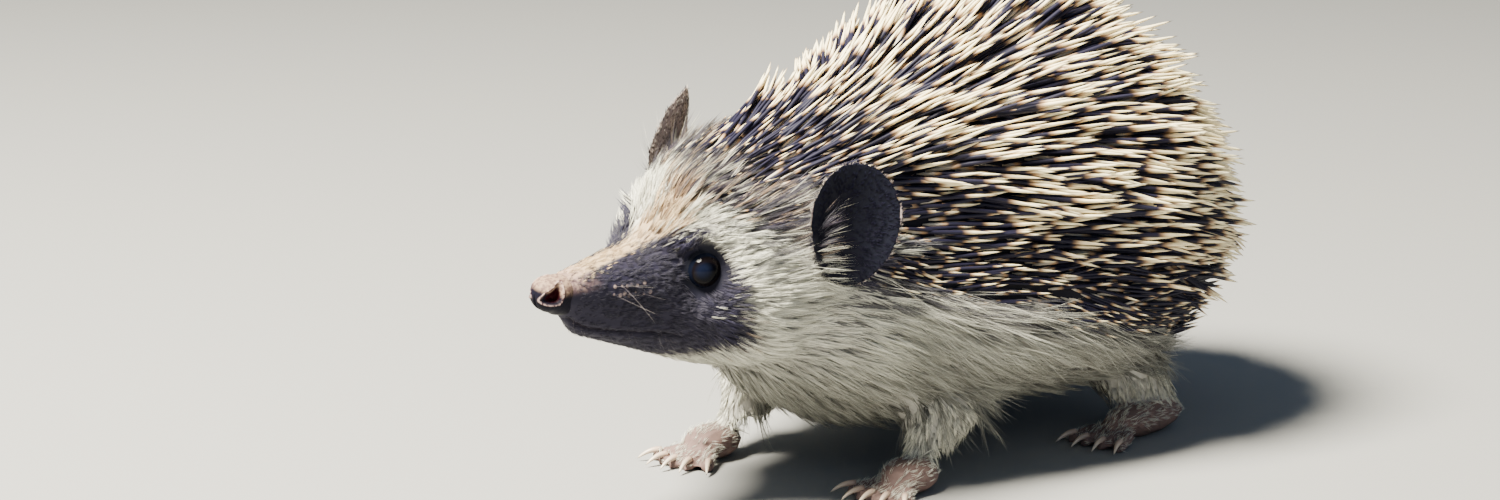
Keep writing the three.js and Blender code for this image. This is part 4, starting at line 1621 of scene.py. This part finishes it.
# How far apart the bunches are in mm, and how much their tips draw together
DRAWN_TOGETHER = {
    "fur_forehead": (1.6, 0.25),
    "fur_cheek_left": (2.2, 0.20),
    "fur_cheek_right": (2.2, 0.20),
    "fur_flank_left": (3.0, 0.35),
    "fur_flank_right": (3.0, 0.35),
    "long_hair": (4.0, 0.35),
    "fur_belly": (4.0, 0.35),
}
# Heights in mm between which the painted shade low on the body fades out, and how much darker it is painted
# below
PAINTED_SHADE_BELOW = {"fur_cheek": (17, 31), "fur_flank": (14, 36), "long_hair": (14, 36), "fur_belly": (14, 36)}
SHADE_TONE_FALL, DARKEST_TONE = 2.2, -1.7
FUR_SLOTS = {
    "fur_brows": "face_fur",
    "fur_muzzle": "face_fur",
    "fur_forehead": "face_fur",
    "ear_fuzz": "ear_skin",
}
print("stretches of fur:", list(STRETCHES))

# %% [markdown]
# One function turns a row of the table into fur: it makes the locks, scatters the roots, lays them along
# the coat, draws them into bunches where the table says so, and paints them darker low on the body as shade.
# Short fur grows in wider locks, and its markings blend evenly.

# %% Planting the fur
FIRST_FUR_SEED = 21
FUR_FREE_ROUND_EAR = 2.1
SHORT_FUR = 3.0  # shorter fur than this grows in wider locks, with the markings evenly blended
SHORT_SPREAD, LONG_SPREAD = 0.5, 0.32  # how wide a lock is, against the distance between two locks
SHORT_MIX = 0.0


def fur_stretch(name, seed, where, density, length, thick, strands, rings, lift, shake, drift):
    is_short = length < SHORT_FUR
    spread = (SHORT_SPREAD if is_short else LONG_SPREAD) * density**-0.5
    locks = fur_locks(name, length, thick, strands, spread, rings)
    roots, rng = scatter(where * density, seed)
    if name != "ear_fuzz":
        roots = keep_only(roots, clear_of_ears(roots["place"]) > FUR_FREE_ROUND_EAR)
        roots["ear"] = 0 * roots["ear"]
    point_along(roots, rng, drift, lift, shake)
    if name in DRAWN_TOGETHER:
        draw_together(roots, length, *DRAWN_TOGETHER[name])
    for start, (distances, sizes) in GROWTH.items():
        if name.startswith(start):
            roots["grow"] = np.interp(in_face(roots["place"])[:, 0], distances, sizes)
    mixed = SHORT_MIX if is_short else MIXED_COAT
    roots = finish_roots(roots, rng, kinds=LOCK_KINDS, length=length, mixed=mixed)
    # Flanks and belly get darker tones, partly for underfur and partly as painted shade
    low, high = LOCK_TONES_AND_SHADE.get(name, (0.0, 1.0))
    roots["tone"] = low + (high - low) * roots["tone"]
    # Painted shade: the lower a lock stands, the darker its tone
    for start, fade in PAINTED_SHADE_BELOW.items():
        if name.startswith(start):
            roots["tone"] -= SHADE_TONE_FALL * (1 - ramp(roots["place"][:, 2] / MM, *fade))
    roots["tone"] = np.maximum(roots["tone"], DARKEST_TONE)
    if name == "ear_fuzz":
        roots["marks"][:, 1] = on_ear_back(roots["place"], roots["up"])
    finish = velvet_finish if name == "ear_fuzz" else fur_finish
    plant(name, roots, locks, finish, FUR_SLOTS.get(name, "pale_fur"))


for k, (name, values) in enumerate(STRETCHES.items()):
    fur_stretch(name, FIRST_FUR_SEED + k, **dict(zip(FUR_COLUMNS, values)))

# %% [markdown]
# ## Whiskers
# Whiskers are single stiff hairs. The long ones leave the pads in two rows and sweep back; short pale ones
# hang along the lip. They are planted like everything else, from templates with one strand each.

# %% Whiskers on the pads and along the lip
WHISKER_LENGTH, WHISKER_RADIUS = 15.0, 0.035
WHISKER_BENDS = (0.05, 0.10, 0.16, 0.22)
WHISKER_SEED = 41
WHISKER_ROOT, WHISKER_TIP = rgb(0.16, 0.13, 0.15), rgb(0.66, 0.60, 0.58)
LIP_HAIRS = 44
PAD_SWEEP, LIP_SWEEP = (0.8, 0.0, -0.45), (0.40, 0.0, -0.85)  # which way they lie, in the face's frame
PAD_SIZES, LIP_SIZES = (0.12, 0.55), (0.10, 0.19)  # shortest and longest, against the full length


def whisker_templates():
    meshes = []
    for bend in WHISKER_BENDS:
        share = np.linspace(0, 1, 9)
        path = np.stack([WHISKER_LENGTH * share, 0 * share, -bend * WHISKER_LENGTH * share**2], 1)
        radii = WHISKER_RADIUS * (1 - 0.7 * share[:-1])
        meshes.append(template_mesh(f"whisker_{len(meshes)}", [strand(path, radii, 4)]))
    return collection_of("whiskers", meshes)


def nearest_on_skin(points):
    hits = [skin_tree.find_nearest(Vector(p)) for p in points]
    return np.array([hit[0][:] for hit in hits]), np.array([hit[1][:] for hit in hits])


skin_tree = BVHTree.FromPolygons([Vector(p) for p in skin_points], corner_index.tolist())
rng = np.random.default_rng(WHISKER_SEED)
pad_places = np.array(list(whisker_places()))
lip_places = along_mouth(np.array(MOUTH), rng.random(LIP_HAIRS) * (len(MOUTH) - 1))
lip_places += rng.normal(0, 0.7, lip_places.shape) * (1, 0.3, 1)
lip_places[:, 1] *= np.where(rng.random(LIP_HAIRS) < 0.5, -1, 1)
place, up = nearest_on_skin(from_face(np.concatenate([pad_places, lip_places])))
count = len(place)
is_pad = np.arange(count) < len(pad_places)
sweep = np.where(is_pad[:, None], PAD_SWEEP, LIP_SWEEP) @ face_axes
whiskers = {
    "place": place,
    "up": up,
    "aim": unit(sweep + up * 0.30 + rng.normal(0, 0.17, (count, 3))),
    "size": np.where(is_pad, rng.uniform(*PAD_SIZES, count), rng.uniform(*LIP_SIZES, count)),
    "pick": rng.integers(0, len(WHISKER_BENDS), count),
    "tone": rng.random(count),
    "marks": np.zeros((count, 3)),
    **{kind: np.zeros(count) for kind in LIMBS},
}
whiskers["root_uv"] = unwrap(whiskers)
whisker_finish, tree, shader = material("Whisker", 0.4, 0.4)
colour = mix(tree, factor(tree, "along"), WHISKER_ROOT, WHISKER_TIP)
tree.links.new(colour, shader.inputs["Base Color"])
plant("whiskers", whiskers, whisker_templates(), whisker_finish, "pale_fur")

# %% [markdown]
# ## Claws
# The claws are small curved cones of pale horn. They are planted by the same tree as the coat, one on the
# end of each toe, pointing where the toe points and curving down to the floor.

# %% Claws on eighteen toes
# The angles of the toes, and the distance from the middle of the palm to where they start
TOES = {"forefoot": ((-38, -17, 0, 17, 36), 4.6), "hindfoot": ((-20, -7, 7, 20), 9.4)}
TOE_LENGTH = 5.0
CLAW_ROOT_HEIGHT = 1.75
CLAW_LENGTH, CLAW_RADIUS = 3.4, 0.6
CLAW_IN_TOE = 0.8
CLAW_ARCH, CLAW_FALL = 0.35, 1.3
HORN_ROOT, HORN_TIP = rgb(0.36, 0.24, 0.18), rgb(0.66, 0.56, 0.44)

share = np.linspace(0, 1, 9)
claw_x = (CLAW_LENGTH + CLAW_IN_TOE) * share - CLAW_IN_TOE
claw_z = CLAW_ARCH * np.sin(np.pi * share) - CLAW_FALL * share**1.5
path = np.stack([claw_x, 0 * share, claw_z], 1)
claw_strand = strand(path, CLAW_RADIUS * (1 - share[:-1]) ** 0.6, 10)
claw_kit = collection_of("claw", [template_mesh("claw_0", [claw_strand])])

toe_places, toe_aims = [], []
for foot, (spreads, reach) in TOES.items():
    for side_name, hand in SIDES.items():
        palm = palm_middle(f"{foot}_{side_name}")
        for spread in np.radians(spreads):
            ahead = np.array([-math.cos(spread), hand * math.sin(spread), 0.0])
            toe_end = ahead * (reach + TOE_LENGTH) + (0, 0, CLAW_ROOT_HEIGHT)
            toe_places.append(palm + toe_end * MM)
            toe_aims.append(ahead)
count = len(toe_places)
toes = {
    "place": np.array(toe_places),
    "aim": np.array(toe_aims),
    "up": np.tile([0.0, 0.0, 1.0], (count, 1)),
    "size": np.ones(count),
    "pick": np.zeros(count, int),
    "tone": np.linspace(0, 1, count),
    "marks": np.zeros((count, 3)),
    **{kind: np.full(count, float(kind == "foot")) for kind in LIMBS},
}
toes["root_uv"] = unwrap(toes)
claw_finish, tree, shader = material("Pale_horn", 0.3, 0.5)
colour = mix(tree, factor(tree, "along"), HORN_ROOT, HORN_TIP)
tree.links.new(colour, shader.inputs["Base Color"])
plant("claws", toes, claw_kit, claw_finish, "claw")

# %% [markdown]
# ## Floor, light and camera
# The model stands on a plain pale floor under soft light: a broad lamp high on the nose's side, a weaker
# one from the camera's side, and a pale, slightly bluish surround that fills the shadows. The camera looks
# at the left of the face from a little above, through a long lens.

# %% The floor
FLOOR_HALF = 4.0  # in metres
FLOOR_COLOUR = rgb(0.245, 0.243, 0.238)

bm = bmesh.new()
bmesh.ops.create_grid(bm, x_segments=2, y_segments=2, size=FLOOR_HALF)
floor_mesh = mesh_from(bm, "floor")
floor = add_object("floor", floor_mesh)
floor_finish, tree, shader = material("Pale_floor", 0.85, 0.2)
shader.inputs["Base Color"].default_value = FLOOR_COLOUR
floor_mesh.materials.append(floor_finish)
floor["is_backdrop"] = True
print("floor of", 2 * FLOOR_HALF, "metres")

# %% [markdown]
# A lamp's softness comes from its size. The key lamp is broad and warm, and the fill is broader, cool and
# weak. Each lamp is placed by two angles and a distance, and looks at the middle of the animal.

# %% Soft light
LAMP_CENTRE = Vector((0, 0, 0.04))
LAMP_COLUMNS = ("azimuth", "height", "distance", "size", "power", "colour")  # degrees, metres and watts
LAMPS = {
    "key": (-106, 58, 0.9, 0.36, 90, (1.0, 0.95, 0.80)),
    "fill": (-20, 25, 1.1, 0.9, 1.2, (0.74, 0.86, 1.0)),
}
SURROUND_COLOUR, SURROUND_STRENGTH = rgb(0.56, 0.73, 1.0), 0.28


def direction(azimuth, height):
    """Towards a lamp or the camera. Azimuth 0 is on the animal's left, and positive turns to its tail."""
    a, e = math.radians(azimuth), math.radians(height)
    return np.array([math.sin(a) * math.cos(e), -math.cos(a) * math.cos(e), math.sin(e)])


def soft_lamp(name, azimuth, height, distance, size, power, colour):
    lamp = bpy.data.lights.new(name, "AREA")
    lamp.shape = "DISK"
    lamp.size = size
    lamp.energy = power
    lamp.color = colour
    towards = Vector(direction(azimuth, height))
    lamp_object = bpy.data.objects.new(name, lamp)
    lamp_object.location = LAMP_CENTRE + towards * distance
    lamp_object.rotation_euler = towards.to_track_quat("Z", "Y").to_euler()
    bpy.context.scene.collection.objects.link(lamp_object)


for name, values in LAMPS.items():
    soft_lamp(name, **dict(zip(LAMP_COLUMNS, values)))
world = bpy.data.worlds.new("surround")
world.use_nodes = True
world.node_tree.nodes["Background"].inputs["Color"].default_value = SURROUND_COLOUR
world.node_tree.nodes["Background"].inputs["Strength"].default_value = SURROUND_STRENGTH
bpy.context.scene.world = world
print("lamps:", list(LAMPS))

# %% [markdown]
# The camera is placed from the near eye: first straight away from it along the view, then to the right and
# up, until the eye sits left of the middle and a little below it. It isn't turned for that, so the view
# keeps its angle.

# %% The camera
CAMERA_AZIMUTH, CAMERA_HEIGHT = -48, 12  # in degrees
CAMERA_DISTANCE = 515.0  # from the near eye, along the view
LENS, SENSOR = 80.0, 36.0
EYE_LEFT_OF_MIDDLE, EYE_BELOW_MIDDLE = 7.15, 2.98

to_camera = direction(CAMERA_AZIMUTH, CAMERA_HEIGHT)
camera_right = np.array([math.cos(math.radians(CAMERA_AZIMUTH)), math.sin(math.radians(CAMERA_AZIMUTH)), 0.0])
camera_up = np.cross(to_camera, camera_right)
aim = eye_middles["left"] + (camera_right * EYE_LEFT_OF_MIDDLE + camera_up * EYE_BELOW_MIDDLE) * MM
camera_data = bpy.data.cameras.new("camera")
camera_data.lens = LENS
camera_data.sensor_width = SENSOR
camera_data.clip_start = 0.01
camera = bpy.data.objects.new("camera", camera_data)
camera.location = Vector(aim + to_camera * CAMERA_DISTANCE * MM)
camera.rotation_euler = Vector(to_camera).to_track_quat("Z", "Y").to_euler()
bpy.context.scene.collection.objects.link(camera)
bpy.context.scene.camera = camera
print("camera at", [round(v, 3) for v in camera.location])

# %% Sizes, and the end
model_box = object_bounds()
boxes = {"cad": [list(corner) for corner in cad_box], "visual": [list(corner) for corner in model_box]}
for title, (low, high) in boxes.items():
    print(title, "box in mm:", [round(v / MM, 1) for v in low], [round(v / MM, 1) for v in high])
